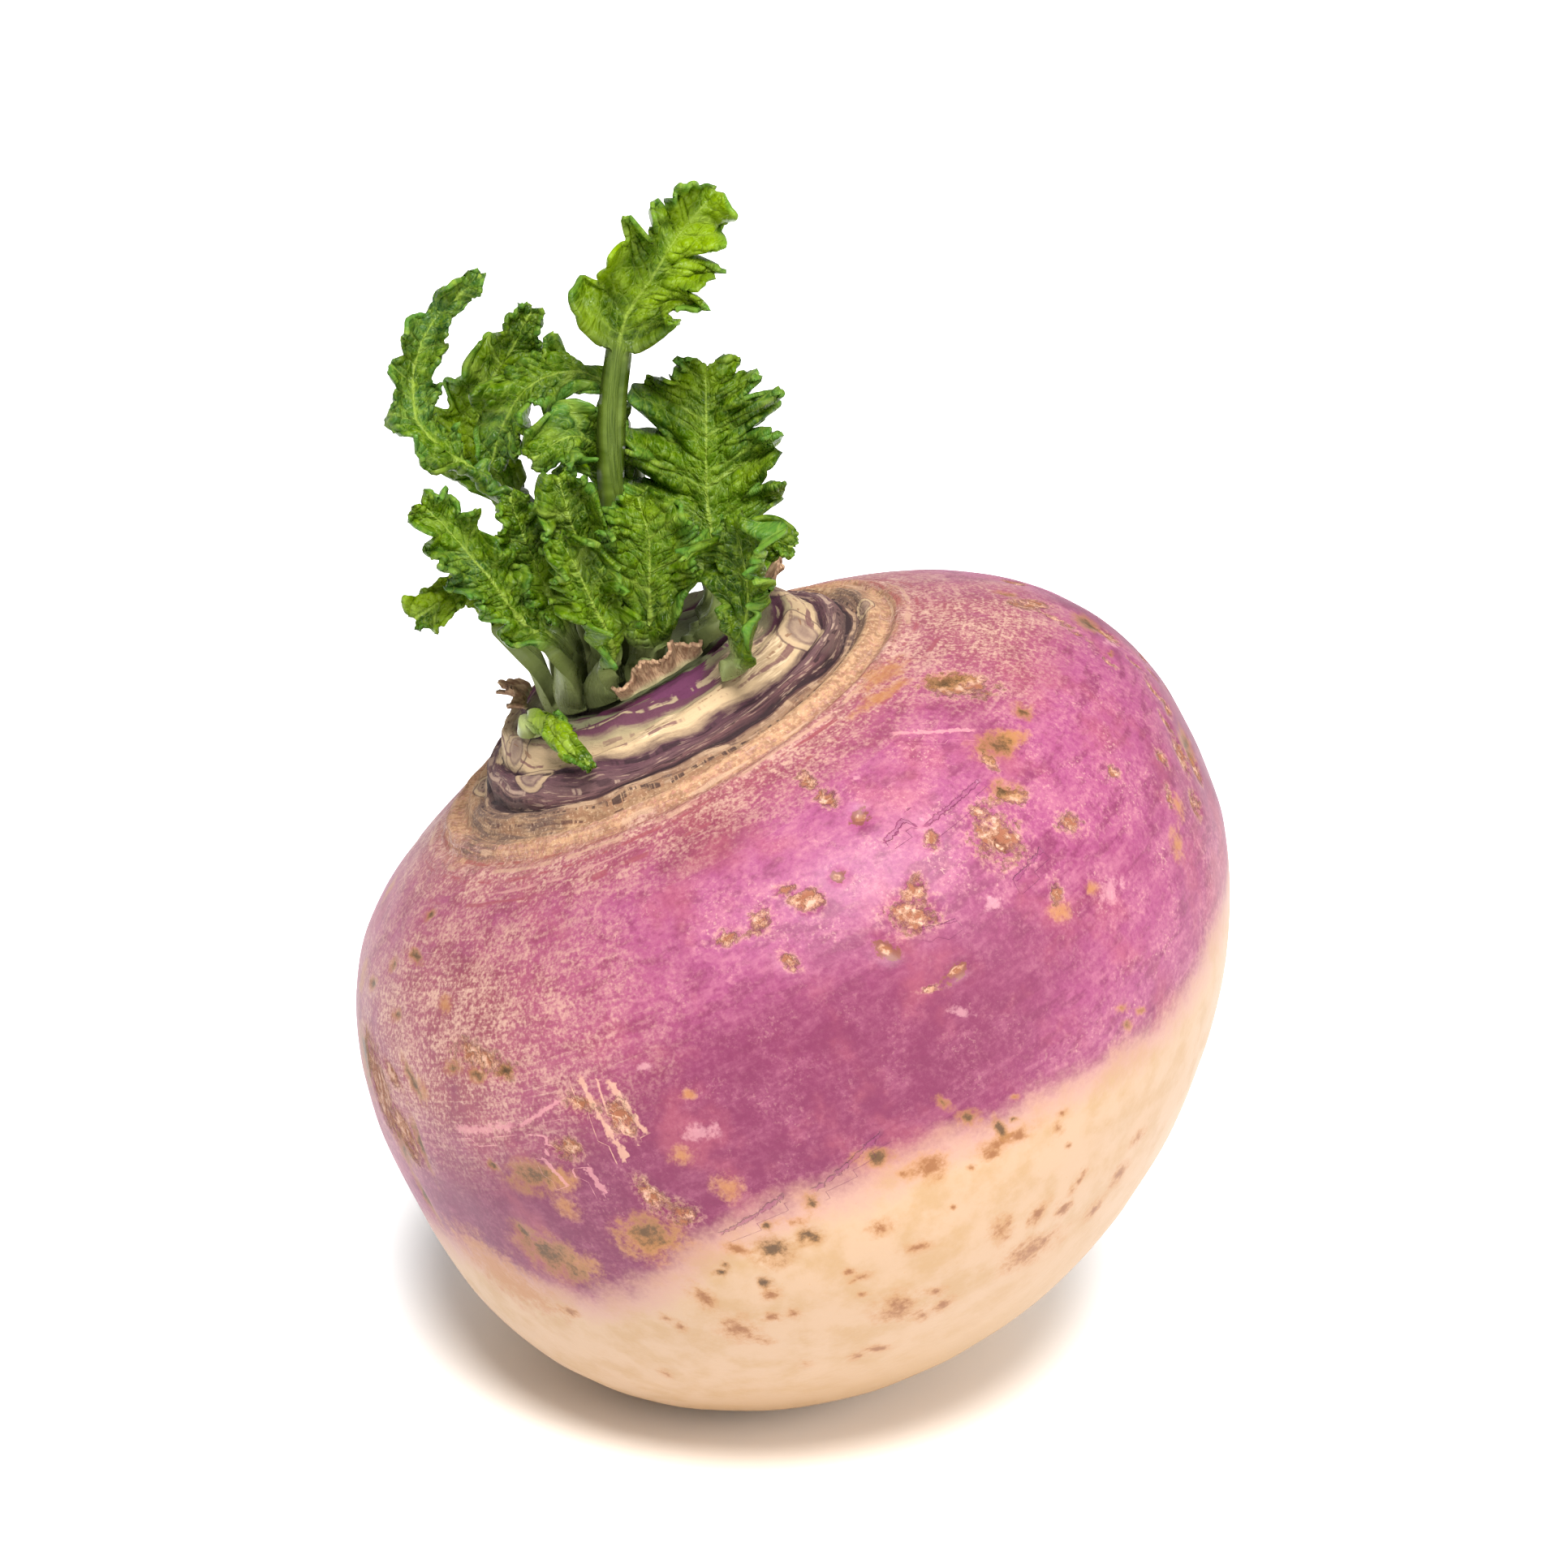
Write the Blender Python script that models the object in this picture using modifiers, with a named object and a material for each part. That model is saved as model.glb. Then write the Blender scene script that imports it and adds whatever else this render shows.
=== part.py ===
"""A purple-top turnip with its young leaves, lying at a lean on a small flat spot under its flank.

World frame: +Z up, origin at the middle of the flat spot. The crown leans towards -X.
Root frame: +Z along the root's axis through the crown, origin at the middle of its widest ring.
"""

import math
from collections import namedtuple

import bmesh
import bpy
from mathutils import Matrix, Vector, noise

MM = 0.001

ROOT_COLOUR = (0.42, 0.10, 0.20)
LEAF_COLOUR = (0.09, 0.18, 0.01)
SCALE_COLOUR = (0.45, 0.27, 0.14)

# The root's body, in the root frame.
WIDEST_RADIUS = 45 * MM
UPPER_HEIGHT = 32.6 * MM  # from the widest ring to where the shoulders would meet
LOWER_HEIGHT = 40.5 * MM  # from the widest ring to the root's tip
UPPER_POWER = 2.73  # 2 is an ellipse; more is squarer in the shoulder
LOWER_POWER = 2.02
SHOULDER_BULGE = 0.014  # the shoulder on +X is this much wider than the one on -X
BELLY_SHEAR = 0.05  # the belly hangs lower on -X by this share of the distance out
LUMP_HEIGHT = 0.7 * MM
LUMP_SIZE = 24 * MM
TIP_SHIFT = (-4 * MM, 1.5 * MM)  # how far the tip lies off the axis

# The taproot, trimmed to a stump.
TAPROOT_RADIUS = 4 * MM
TAPROOT_LENGTH = 2 * MM

# The crown: a corky ring, a low cone of old leaf scars, and a shallow basin that the leaves stand in.
CORK_RADIUS = 27 * MM
NECK_RADIUS = 12.5 * MM
NECK_RISE = 4.6 * MM
BASIN_RADIUS = 9.5 * MM
BASIN_DEPTH = 0.8 * MM
SCAR_RELIEF = 0.45 * MM
SCAR_PITCH = 3.1 * MM  # from one ridge of scars to the next
SCAR_SPIRAL = 1  # the ridges gain this many pitches in a turn

# How the turnip lies.
LEAN = math.radians(26.65)
LEAN_HEADING = math.radians(177.5)  # from +X towards +Y
ROOT_CENTRE = Vector((5.5, -0.4, 42.6)) * MM

# How finely the root is faceted: rows in (from degrees, to degrees, number) off the crown's pole.
ROOT_COLUMNS = 64
ROOT_ROWS = ((0, 45, 18), (45, 165, 19), (165, 180, 4))

# The leaves.
FOOT_GAP = 0.5 * MM
FOOT_SPAN = 1.5 * MM  # a foot is square to the crown over this much either side of it
BLADE_THICKNESS = 0.75 * MM
STALK_THICKNESS = 1.8 * MM
STALK_HALF_WIDTH = 1.3 * MM
STALK_FLARE = 0.3  # the stalk's foot is wider than its middle by this share
STALK_TAPER = 0.4  # the stalk loses this share of its width by the tip
STALK_CUP = math.radians(35)
STALK_ROWS = 6
FOOT_STRAIGHT = 3 * MM  # a leaf leaves the crown squarely over this length
RIB_HALF_WIDTH = 0.9 * MM
UNEVEN_LOBES = 0.3  # how far, in lobes, a lobe may lie from its even place
VEIN_SLANT = math.radians(30)
ROUTE_STEPS = 96

Leaf = namedtuple("Leaf", "name foot route faces bare width peak lobes cut cup ruffle across rows")
"""foot is the foot's distance from the root's axis, in mm, and its turn from +X, in degrees.
route holds points that the midrib passes, in mm from the foot along the world's axes.
faces are the directions that the upper side faces where the blade starts and at the tip,
each (lean from upright, heading) in degrees. bare is the share of the length with no blade.
width is the blade's half width in mm, at the share peak of the blade's length.
cut is the depth of the notches between its lobes, cup in degrees, ruffle in mm."""

LEAVES = (
    Leaf(
        "leaf_tall", (1.5, 200),
        ((0.5, -2.5, 6), (0, -2, 12.5), (-0.5, -1.5, 19), (-0.5, -1, 25.5), (0, -0.5, 30.5),
         (1, -0.5, 35.5), (3.5, -0.5, 39.5), (6.5, 0.5, 44), (9.5, 1.5, 47)),
        ((80, 265), (75, 290)),
        0.645, 7.1, 0.22, 4, 0.45, 25, 1.6, 8, 20,
    ),
    Leaf(
        "leaf_right", (8.6, 352),
        ((0.5, -1.5, 4.5), (0, 0.5, 9), (-0.5, 2, 13.5), (-0.5, 3, 18.5), (-0.5, 4, 22),
         (-0.5, 4.5, 25)),
        ((78, 268), (70, 265)),
        0.2, 9.6, 0.38, 5, 0.5, 15, 1.5, 8, 20,
    ),
    Leaf(
        "leaf_right_low", (9.0, 323),
        ((2, -3, 4.5), (4, -3, 8.5), (6.5, -3, 12), (9, -3.5, 11.5)),
        ((50, 275), (60, 270)),
        0.4, 2.6, 0.5, 2, 0.35, 20, 0.8, 6, 10,
    ),
    Leaf(
        "leaf_front_right", (16.5, 309),
        ((1, -4, 4), (1.5, -3.5, 8.5), (1, -3, 12), (0, -2, 15.5)),
        ((75, 220), (60, 225)),
        0.2, 6, 0.5, 3, 0.25, 60, 1.1, 8, 14,
    ),
    Leaf(
        "leaf_front", (6.4, 284),
        ((0.5, -2.5, 5), (0.5, -3, 10.5), (0.5, -2.5, 14.5), (-0.5, -1.5, 18.5)),
        ((80, 272), (70, 270)),
        0.22, 6, 0.5, 4, 0.25, 30, 1.1, 8, 16,
    ),
    Leaf(
        "leaf_front_left", (8.8, 253),
        ((0.5, -5, 7.5), (-1, -6.5, 12), (-2.5, -7, 16), (-4, -7.5, 19)),
        ((70, 310), (65, 290)),
        0.3, 4.2, 0.5, 3, 0.3, 30, 1.1, 8, 12,
    ),
    Leaf(
        "leaf_left_low", (9.0, 226),
        ((-1, -5, 8), (-4.5, -5.5, 11), (-7.5, -6, 15.5), (-10.5, -6, 19.5), (-13.5, -6, 23)),
        ((45, 285), (60, 270)),
        0.35, 4.4, 0.55, 5, 0.45, 25, 1.1, 8, 18,
    ),
    Leaf(
        "leaf_left_inner", (5.5, 185),
        ((-1.5, -4, 7), (-4, -4, 13), (-5.5, -5, 17.5), (-6.5, -5, 21)),
        ((60, 290), (60, 285)),
        0.35, 3.7, 0.45, 4, 0.3, 25, 1.1, 8, 12,
    ),
    Leaf(
        "leaf_far_left", (9, 152),
        ((-1, -4, 8), (-2.5, -5, 15), (-4.5, -6, 20), (-7, -8, 23.5), (-10.5, -9, 26.5),
         (-13, -8, 29), (-13.5, -6, 32.5), (-12.5, -5, 36.5), (-10, -4, 39.5), (-7, -4, 42.5)),
        ((5, 275), (80, 280)),
        0.42, 3.2, 0.4, 6, 0.5, 20, 1, 8, 22,
    ),
    Leaf(
        "leaf_left_back", (9, 118),
        ((-2.5, -3.5, 8.5), (-6.5, -1.5, 14.5), (-10, -0.5, 19), (-11.5, -0.5, 23.5),
         (-10.5, -0.5, 27.5), (-8, -0.5, 31.5), (-6, -0.5, 35.5)),
        ((75, 280), (80, 280)),
        0.46, 4.6, 0.35, 4, 0.4, 20, 1.1, 8, 16,
    ),
    Leaf(
        "leaf_arched", (8, 75),
        ((-1.5, -1, 10.5), (-3, -1.5, 20), (-4.5, -4.5, 26), (-8, -5, 27.5), (-12, -5.5, 26),
         (-14.5, -5.5, 22), (-15.5, -5.5, 18.5)),
        ((12, 280), (75, 265)),
        0.5, 4, 0.55, 4, 0.4, 20, 1.1, 8, 16,
    ),
    Leaf(
        "leaf_inner", (5.5, 105),
        ((0, -2.5, 9), (-0.5, -2, 16.5), (-2, -3.5, 21.5), (-4.5, -7, 24), (-8, -9, 22.5)),
        ((60, 275), (60, 265)),
        0.48, 4.1, 0.5, 3, 0.3, 20, 0.9, 8, 12,
    ),
    Leaf(
        "leaf_middle", (4.6, 238),
        ((-0.5, -2, 6), (-2, -2.5, 13), (-3.5, -3, 18), (-4.5, -3, 22)),
        ((70, 280), (70, 275)),
        0.3, 4.3, 0.5, 3, 0.3, 25, 1, 8, 12,
    ),
    Leaf(
        "leaf_drooping", (13.4, 224),
        ((1.5, -3, 2), (3.5, -7, 1), (5.5, -9, 0)),
        ((44, 214), (44, 228)),
        0.1, 1.5, 0.4, 2, 0.3, 15, 0.3, 6, 10,
    ),
    Leaf(
        "leaf_left_lobe", (9.2, 197),
        ((-2, -3, 6.5), (-5, -3.5, 10.5), (-7.5, -5, 14), (-10, -7, 13.5), (-12.5, -7.5, 12)),
        ((40, 275), (50, 265)),
        0.5, 2.8, 0.6, 2, 0.3, 20, 0.8, 8, 10,
    ),
)

# The dry scales: papery remains of old leaf bases, standing on the crown.
SCALE_THICKNESS = 0.6 * MM
SCALE_RUFFLE = 0.7 * MM
SCALE_COLUMNS = 14
SCALE_ROWS = 4

Scale = namedtuple("Scale", "name radius start stop height flare")
"""radius is the distance from the root's axis in mm, start and stop the turns from +X in degrees,
height and flare how high the scale stands and how far its edge leans out, in mm."""

SCALES = (
    Scale("dry_scale_front", 12.2, 267, 311, 3.0, 1.5),
    Scale("dry_scale_right", 14.0, 336, 374, 5.0, 1.2),
    Scale("dry_scale_left", 11.5, 166, 194, 2.6, 1.2),
)


def smooth_step(low, high, value):
    """0 below low, 1 above high and an even rise between them. With low above high it falls instead."""
    share = min(1.0, max(0.0, (value - low) / (high - low)))
    return share * share * (3 - 2 * share)


def mix(first, last, share):
    return first + (last - first) * share


# ---------------------------------------------------------------- root


def crown_height(radius, around):
    """What the crown adds to the shoulders' height at this distance from the axis."""
    neck = NECK_RISE * smooth_step(22 * MM, NECK_RADIUS, radius)
    basin = BASIN_DEPTH * smooth_step(NECK_RADIUS, BASIN_RADIUS, radius)
    pitches = radius / SCAR_PITCH + SCAR_SPIRAL * around / math.tau
    fade = smooth_step(BASIN_RADIUS, NECK_RADIUS, radius) * smooth_step(CORK_RADIUS, 24 * MM, radius)
    scars = SCAR_RELIEF * math.sin(math.tau * pitches) * fade
    return neck + scars - basin


def root_point(polar, around):
    """The root's surface, in the root frame, at an angle from the crown's pole and a turn from +X."""
    upper = polar < math.pi / 2
    height, power = (UPPER_HEIGHT, UPPER_POWER) if upper else (LOWER_HEIGHT, LOWER_POWER)
    flat = (math.sin(polar) / WIDEST_RADIUS) ** power + (abs(math.cos(polar)) / height) ** power
    reach = flat ** (-1 / power)
    radius = reach * math.sin(polar)
    z = reach * math.cos(polar)
    if upper:
        z += crown_height(radius, around)
    widen = SHOULDER_BULGE * smooth_step(0, 1, radius / WIDEST_RADIUS) * math.cos(around)
    radius *= 1 + widen * smooth_step(-10 * MM, 20 * MM, z)
    x, y = radius * math.cos(around), radius * math.sin(around)
    tip = min(1, max(0, -z) / LOWER_HEIGHT) ** 1.5
    if not upper:
        z -= TAPROOT_LENGTH * smooth_step(TAPROOT_RADIUS + 2 * MM, TAPROOT_RADIUS, radius)
    z += BELLY_SHEAR * x * smooth_step(5 * MM, -20 * MM, z)
    x += TIP_SHIFT[0] * tip
    y += TIP_SHIFT[1] * tip
    point = Vector((x, y, z))
    calm = smooth_step(CORK_RADIUS * 0.6, CORK_RADIUS, radius) if upper else 1
    lump = noise.noise(point / LUMP_SIZE) * LUMP_HEIGHT * calm
    return point + point.normalized() * lump


def root_rows():
    """The angle of each row of the root's points, from the crown's pole to the taproot."""
    angles = [
        math.radians(mix(start, stop, step / count))
        for start, stop, count in ROOT_ROWS
        for step in range(count)
    ]
    return angles + [math.pi]


def build_root():
    rows = root_rows()
    mesh = bmesh.new()
    bmesh.ops.create_uvsphere(mesh, u_segments=ROOT_COLUMNS, v_segments=len(rows) - 1, radius=1)
    for vertex in mesh.verts:
        even = math.acos(max(-1.0, min(1.0, vertex.co.z)))
        row = round(even / math.pi * (len(rows) - 1))
        around = math.atan2(vertex.co.y, vertex.co.x)
        vertex.co = root_point(rows[row], around)
    bmesh.ops.transform(mesh, matrix=root_to_world(), verts=mesh.verts)
    cut = bmesh.ops.bisect_plane(
        mesh,
        geom=mesh.verts[:] + mesh.edges[:] + mesh.faces[:],
        dist=0.01 * MM,
        plane_co=(0, 0, 0),
        plane_no=(0, 0, -1),
        clear_outer=True,
    )
    rim = [item for item in cut["geom_cut"] if isinstance(item, bmesh.types.BMEdge)]
    bmesh.ops.contextual_create(mesh, geom=rim)
    return add_object("root", mesh, ROOT_COLOUR, 0.5)


def root_to_world():
    hinge = Vector((-math.sin(LEAN_HEADING), math.cos(LEAN_HEADING), 0))
    return Matrix.Translation(ROOT_CENTRE) @ Matrix.Rotation(LEAN, 4, hinge)


# ---------------------------------------------------------------- leaves


def direction(lean, heading):
    """A unit vector this far from upright, in degrees, towards a heading counted from +X to +Y."""
    lean, heading = math.radians(lean), math.radians(heading)
    return Vector(
        (math.sin(lean) * math.cos(heading), math.sin(lean) * math.sin(heading), math.cos(lean))
    )


def crown_point(radius, around):
    """A point of the crown's surface, in the root frame, at this distance from the axis."""
    shoulder = 1 - (radius / WIDEST_RADIUS) ** UPPER_POWER
    height = UPPER_HEIGHT * shoulder ** (1 / UPPER_POWER) + crown_height(radius, around)
    return Vector((radius * math.cos(around), radius * math.sin(around), height))


def foot_place(foot):
    """Where a foot stands on the crown, in the world, and the way it points."""
    radius, around = foot[0] * MM, math.radians(foot[1])
    out = crown_point(radius + FOOT_SPAN, around) - crown_point(max(radius - FOOT_SPAN, 0), around)
    lift = FOOT_GAP + SCAR_RELIEF * smooth_step(BASIN_RADIUS, NECK_RADIUS, radius)
    around_it = Vector((-math.sin(around), math.cos(around), 0))
    turn = root_to_world().to_quaternion()
    normal = turn @ out.cross(around_it).normalized()
    return root_to_world() @ crown_point(radius, around) + normal * lift, normal, turn @ out.normalized()


def route_points(leaf, normal):
    """The midrib's points, from the foot, evenly spaced on a smooth curve through the leaf's route."""
    knots = [Vector((0, 0, 0))] + [Vector(point) * MM for point in leaf.route]
    knots = [-normal * knots[1].length] + knots + [knots[-1] * 2 - knots[-2]]
    dense = []
    for first, start, stop, last in zip(knots, knots[1:], knots[2:], knots[3:]):
        for step in range(ROUTE_STEPS):
            share = step / ROUTE_STEPS
            ease = (
                start * 2
                + (stop - first) * share
                + (first * 2 - start * 5 + stop * 4 - last) * share**2
                + (start * 3 - first - stop * 3 + last) * share**3
            )
            dense.append(ease / 2)
    dense.append(knots[-2])
    lengths = [0.0]
    for before, after in zip(dense, dense[1:]):
        lengths.append(lengths[-1] + (after - before).length)
    points, place = [], 0
    for step in range(ROUTE_STEPS + 1):
        goal = lengths[-1] * step / ROUTE_STEPS
        while place < len(dense) - 2 and lengths[place + 1] < goal:
            place += 1
        share = (goal - lengths[place]) / (lengths[place + 1] - lengths[place])
        point = dense[place].lerp(dense[place + 1], share)
        points.append((normal * goal).lerp(point, smooth_step(0, FOOT_STRAIGHT, goal)))
    return points


def leaf_spine(leaf):
    """For each even step along the midrib: its point in the world, and its along, across and face vectors."""
    place, normal, out = foot_place(leaf.foot)
    points = route_points(leaf, normal)
    start, tip = (direction(*face) for face in leaf.faces)
    spine = []
    for step, point in enumerate(points):
        share = step / ROUTE_STEPS
        before, after = points[max(step - 1, 0)], points[min(step + 1, ROUTE_STEPS)]
        along = (after - before).normalized() if step else normal
        blade_share = max(0.0, (share - leaf.bare) / (1 - leaf.bare))
        face = start.lerp(tip, blade_share)
        face = (-out).lerp(face, smooth_step(0, leaf.bare + 0.05, share))
        side = along.cross(face).normalized()
        spine.append((place + point, along, side, side.cross(along)))
    return spine


def lobe_phase(leaf, share, right):
    """How many lobes lie between the blade's start and this share of its length. No two are as long."""
    side = 0.3 if right else 0
    return leaf.lobes * share + side + UNEVEN_LOBES * math.sin(math.tau * (share * 1.4 + side + leaf.width))


def blade_outline(leaf, share, right):
    """The blade's half width, with its lobes, at this share of the blade's own length."""
    swell = math.sin(math.pi * min(1, share * 0.94 + 0.02) ** (math.log(0.5) / math.log(leaf.peak))) ** 0.6
    lobe = abs(math.sin(math.pi * lobe_phase(leaf, share, right))) ** 0.6
    return leaf.width * MM * swell * (1 - leaf.cut * (1 - lobe))


def leaf_point(leaf, spine, share, across):
    """The middle of the leaf's thickness, at a share of its length and -1 to 1 across it."""
    point, along, side, face = spine[round(share * ROUTE_STEPS)]
    right = across > 0
    stalk = STALK_HALF_WIDTH * (1 + STALK_FLARE * math.exp(-((share / 0.1) ** 2))) * (1 - STALK_TAPER * share)
    bladed = max(0.0, (share - leaf.bare) / (1 - leaf.bare))
    opened = smooth_step(0, 0.12, bladed)
    half = mix(stalk, max(blade_outline(leaf, bladed, right), 0.5 * MM), opened)
    cup = mix(STALK_CUP, math.radians(leaf.cup), opened)
    slant = VEIN_SLANT * opened
    reach = half * math.sin(cup * across) / cup
    rise = half * (1 - math.cos(cup * across)) / cup
    wave = math.sin(math.tau * (leaf.lobes * bladed + (0.55 if right else 0.0)))
    rise += leaf.ruffle * MM * opened * across**2 * wave
    reach_way = side * math.cos(slant) + along * math.sin(slant) * (1 if right else -1)
    return point + reach_way * reach + face * rise


def leaf_thickness(leaf, share, across):
    """The leaf's thickness as a share of the stalk's: full in the stalk, thin beside the midrib."""
    bladed = smooth_step(leaf.bare, leaf.bare + 0.12, share)
    rib = math.exp(-((across * leaf.width * MM / RIB_HALF_WIDTH) ** 2)) * (1 - share)
    thin = BLADE_THICKNESS / STALK_THICKNESS
    stalk = 1 - STALK_TAPER * share
    return mix(stalk, thin + (stalk - thin) * rib, bladed)


def build_leaf(leaf):
    spine = leaf_spine(leaf)
    rows = STALK_ROWS + leaf.rows
    mesh = bmesh.new()
    bmesh.ops.create_grid(mesh, x_segments=leaf.across, y_segments=rows, size=1)
    weights = []
    for vertex in mesh.verts:
        across, row = vertex.co.x, round((vertex.co.y + 1) / 2 * rows)
        if row < STALK_ROWS:
            share = leaf.bare * (row / STALK_ROWS) ** 1.6
        else:
            share = mix(leaf.bare, 1, (row - STALK_ROWS) / leaf.rows)
        weights.append(leaf_thickness(leaf, share, across))
        vertex.co = leaf_point(leaf, spine, share, across)
    bmesh.ops.triangulate(mesh, faces=mesh.faces)
    obj = add_object(leaf.name, mesh, LEAF_COLOUR, 0.45)
    thicken(obj, weights, STALK_THICKNESS)
    return obj


def build_scale(scale):
    columns, rows = SCALE_COLUMNS, SCALE_ROWS
    mesh = bmesh.new()
    bmesh.ops.create_grid(mesh, x_segments=columns, y_segments=rows, size=1)
    for vertex in mesh.verts:
        along, up = (vertex.co.x + 1) / 2, (vertex.co.y + 1) / 2
        turn = mix(scale.start, scale.stop, along)
        place, normal, out = foot_place((scale.radius, turn))
        rise = scale.height * MM * math.sin(math.pi * mix(0.12, 0.88, along)) ** 0.6
        rise *= 1 + 0.25 * math.sin(17 * along + 2)
        wave = SCALE_RUFFLE * math.sin(23 * along + scale.radius) * up
        vertex.co = place + normal * (rise * up) + out * (scale.flare * MM * up**2 + wave)
    bmesh.ops.triangulate(mesh, faces=mesh.faces)
    obj = add_object(scale.name, mesh, SCALE_COLOUR, 0.8)
    thicken(obj, [1] * len(obj.data.vertices), SCALE_THICKNESS)
    return obj


def thicken(obj, weights, thickness):
    """Gives a sheet its thickness, as a share for each point, evenly to both sides."""
    group = obj.vertex_groups.new(name="thickness")
    for index, weight in enumerate(weights):
        group.add([index], weight, "REPLACE")
    solid = obj.modifiers.new("thickness", "SOLIDIFY")
    solid.thickness = thickness
    solid.offset = 0
    solid.vertex_group = group.name


# ---------------------------------------------------------------- scene


def clear_scene():
    for obj in list(bpy.data.objects):
        bpy.data.objects.remove(obj)


def material(name, colour, roughness):
    made = bpy.data.materials.new(name)
    made.use_nodes = True
    shader = made.node_tree.nodes["Principled BSDF"]
    shader.inputs["Base Color"].default_value = (*colour, 1)
    shader.inputs["Roughness"].default_value = roughness
    shader.inputs["Metallic"].default_value = 0
    return made


def add_object(name, mesh, colour, roughness):
    """Makes an object of a bmesh, smooth shaded, in the turnip's collection."""
    data = bpy.data.meshes.new(name)
    mesh.to_mesh(data)
    mesh.free()
    data.shade_smooth()
    data.materials.append(material(name, colour, roughness))
    obj = bpy.data.objects.new(name, data)
    bpy.data.collections["turnip"].objects.link(obj)
    return obj


def main():
    clear_scene()
    collection = bpy.data.collections.new("turnip")
    bpy.context.scene.collection.children.link(collection)
    build_root()
    for leaf in LEAVES:
        build_leaf(leaf)
    for scale in SCALES:
        build_scale(scale)


main()
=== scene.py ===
"""The look of a purple-top turnip with its young leaves: its skin, crown, leaves and dry scales.

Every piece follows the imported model's own formulas, more finely, and stands for one of its nodes.
World frame: +Z up, origin at the middle of the flat spot. Lengths are in metres unless a name says otherwise.
Root frame: +Z along the root's axis through the crown, origin at the middle of its widest ring.
"""

import math
import random
from collections import namedtuple

import bmesh
import bpy
import numpy as np
from bpy.props import FloatProperty, FloatVectorProperty, IntProperty, PointerProperty
from mathutils import Matrix, Vector, noise


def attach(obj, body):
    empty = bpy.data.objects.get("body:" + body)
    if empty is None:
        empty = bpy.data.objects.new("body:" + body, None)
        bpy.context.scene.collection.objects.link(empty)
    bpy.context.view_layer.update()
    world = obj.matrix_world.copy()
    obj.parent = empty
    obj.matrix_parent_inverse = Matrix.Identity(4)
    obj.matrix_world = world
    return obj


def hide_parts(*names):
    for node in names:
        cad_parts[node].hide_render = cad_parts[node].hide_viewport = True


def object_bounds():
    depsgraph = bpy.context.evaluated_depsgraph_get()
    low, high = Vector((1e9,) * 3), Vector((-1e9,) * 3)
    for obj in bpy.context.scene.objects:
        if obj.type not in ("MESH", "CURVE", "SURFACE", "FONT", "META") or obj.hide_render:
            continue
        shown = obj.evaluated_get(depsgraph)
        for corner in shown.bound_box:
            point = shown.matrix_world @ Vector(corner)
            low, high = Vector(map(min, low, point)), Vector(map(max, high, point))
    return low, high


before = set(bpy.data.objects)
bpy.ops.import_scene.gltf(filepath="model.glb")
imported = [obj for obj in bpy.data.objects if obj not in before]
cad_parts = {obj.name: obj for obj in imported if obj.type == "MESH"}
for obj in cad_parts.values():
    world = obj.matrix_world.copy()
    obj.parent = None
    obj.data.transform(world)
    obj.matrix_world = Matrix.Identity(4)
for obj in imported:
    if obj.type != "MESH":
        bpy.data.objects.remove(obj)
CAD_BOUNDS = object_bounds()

bl_info = {
    "name": "Turnip",
    "version": (1, 0, 0),
    "blender": (4, 5, 0),
    "location": "3D View > Sidebar > Turnip",
    "description": "A purple-top turnip with its young leaves",
    "category": "Object",
}

MM = 0.001
SEED = 7

# The root's body, in the root frame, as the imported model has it.
WIDEST_RADIUS = 45 * MM
UPPER_HEIGHT = 32.6 * MM  # from the widest ring to where the shoulders would meet
LOWER_HEIGHT = 40.5 * MM  # from the widest ring to the root's tip
UPPER_POWER = 2.73  # 2 is an ellipse; more is squarer in the shoulder
LOWER_POWER = 2.02
SHOULDER_BULGE = 0.014  # the shoulder on +X is this much wider than the one on -X
BULGE_HEIGHTS = (-10 * MM, 20 * MM)  # where that starts and where it is whole, up the axis
BELLY_SHEAR = 0.05  # the belly hangs lower on -X by this share of the distance out
SHEAR_HEIGHTS = (5 * MM, -20 * MM)  # where that starts and where it is whole, down the axis
LUMP_HEIGHT = 0.7 * MM
LUMP_SIZE = 24 * MM
TIP_SHIFT = (-4 * MM, 1.5 * MM)  # how far the tip lies off the axis
TIP_POWER = 1.5  # how late, down the axis, that shift comes
TAPROOT_RADIUS = 4 * MM
TAPROOT_FOOT = 2 * MM  # over which the taproot widens into the root
TAPROOT_LENGTH = 2 * MM
CORK_RADIUS = 27 * MM
CORK_FADE_RADIUS = 24 * MM  # the scars of the crown fade from here to the cork's edge
NECK_FOOT_RADIUS = 22 * MM
NECK_RADIUS = 12.5 * MM
NECK_RISE = 4.6 * MM
BASIN_RADIUS = 9.5 * MM
BASIN_DEPTH = 0.8 * MM
SCAR_RELIEF = 0.45 * MM
SCAR_PITCH = 3.1 * MM
SCAR_SPIRAL = 1
LEAN = math.radians(26.65)
LEAN_HEADING = math.radians(177.5)  # from +X towards +Y
ROOT_CENTRE = Vector((5.5, -0.4, 42.6)) * MM

# How finely the root is faceted: rows in (from degrees, to degrees, number) off the crown's pole.
ROOT_ROWS = ((0, 13, 10), (13, 43, 86), (43, 165, 132), (165, 180, 12))
FINE_LUMP = 0.12 * MM
FINE_LUMP_SIZE = 5 * MM

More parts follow.
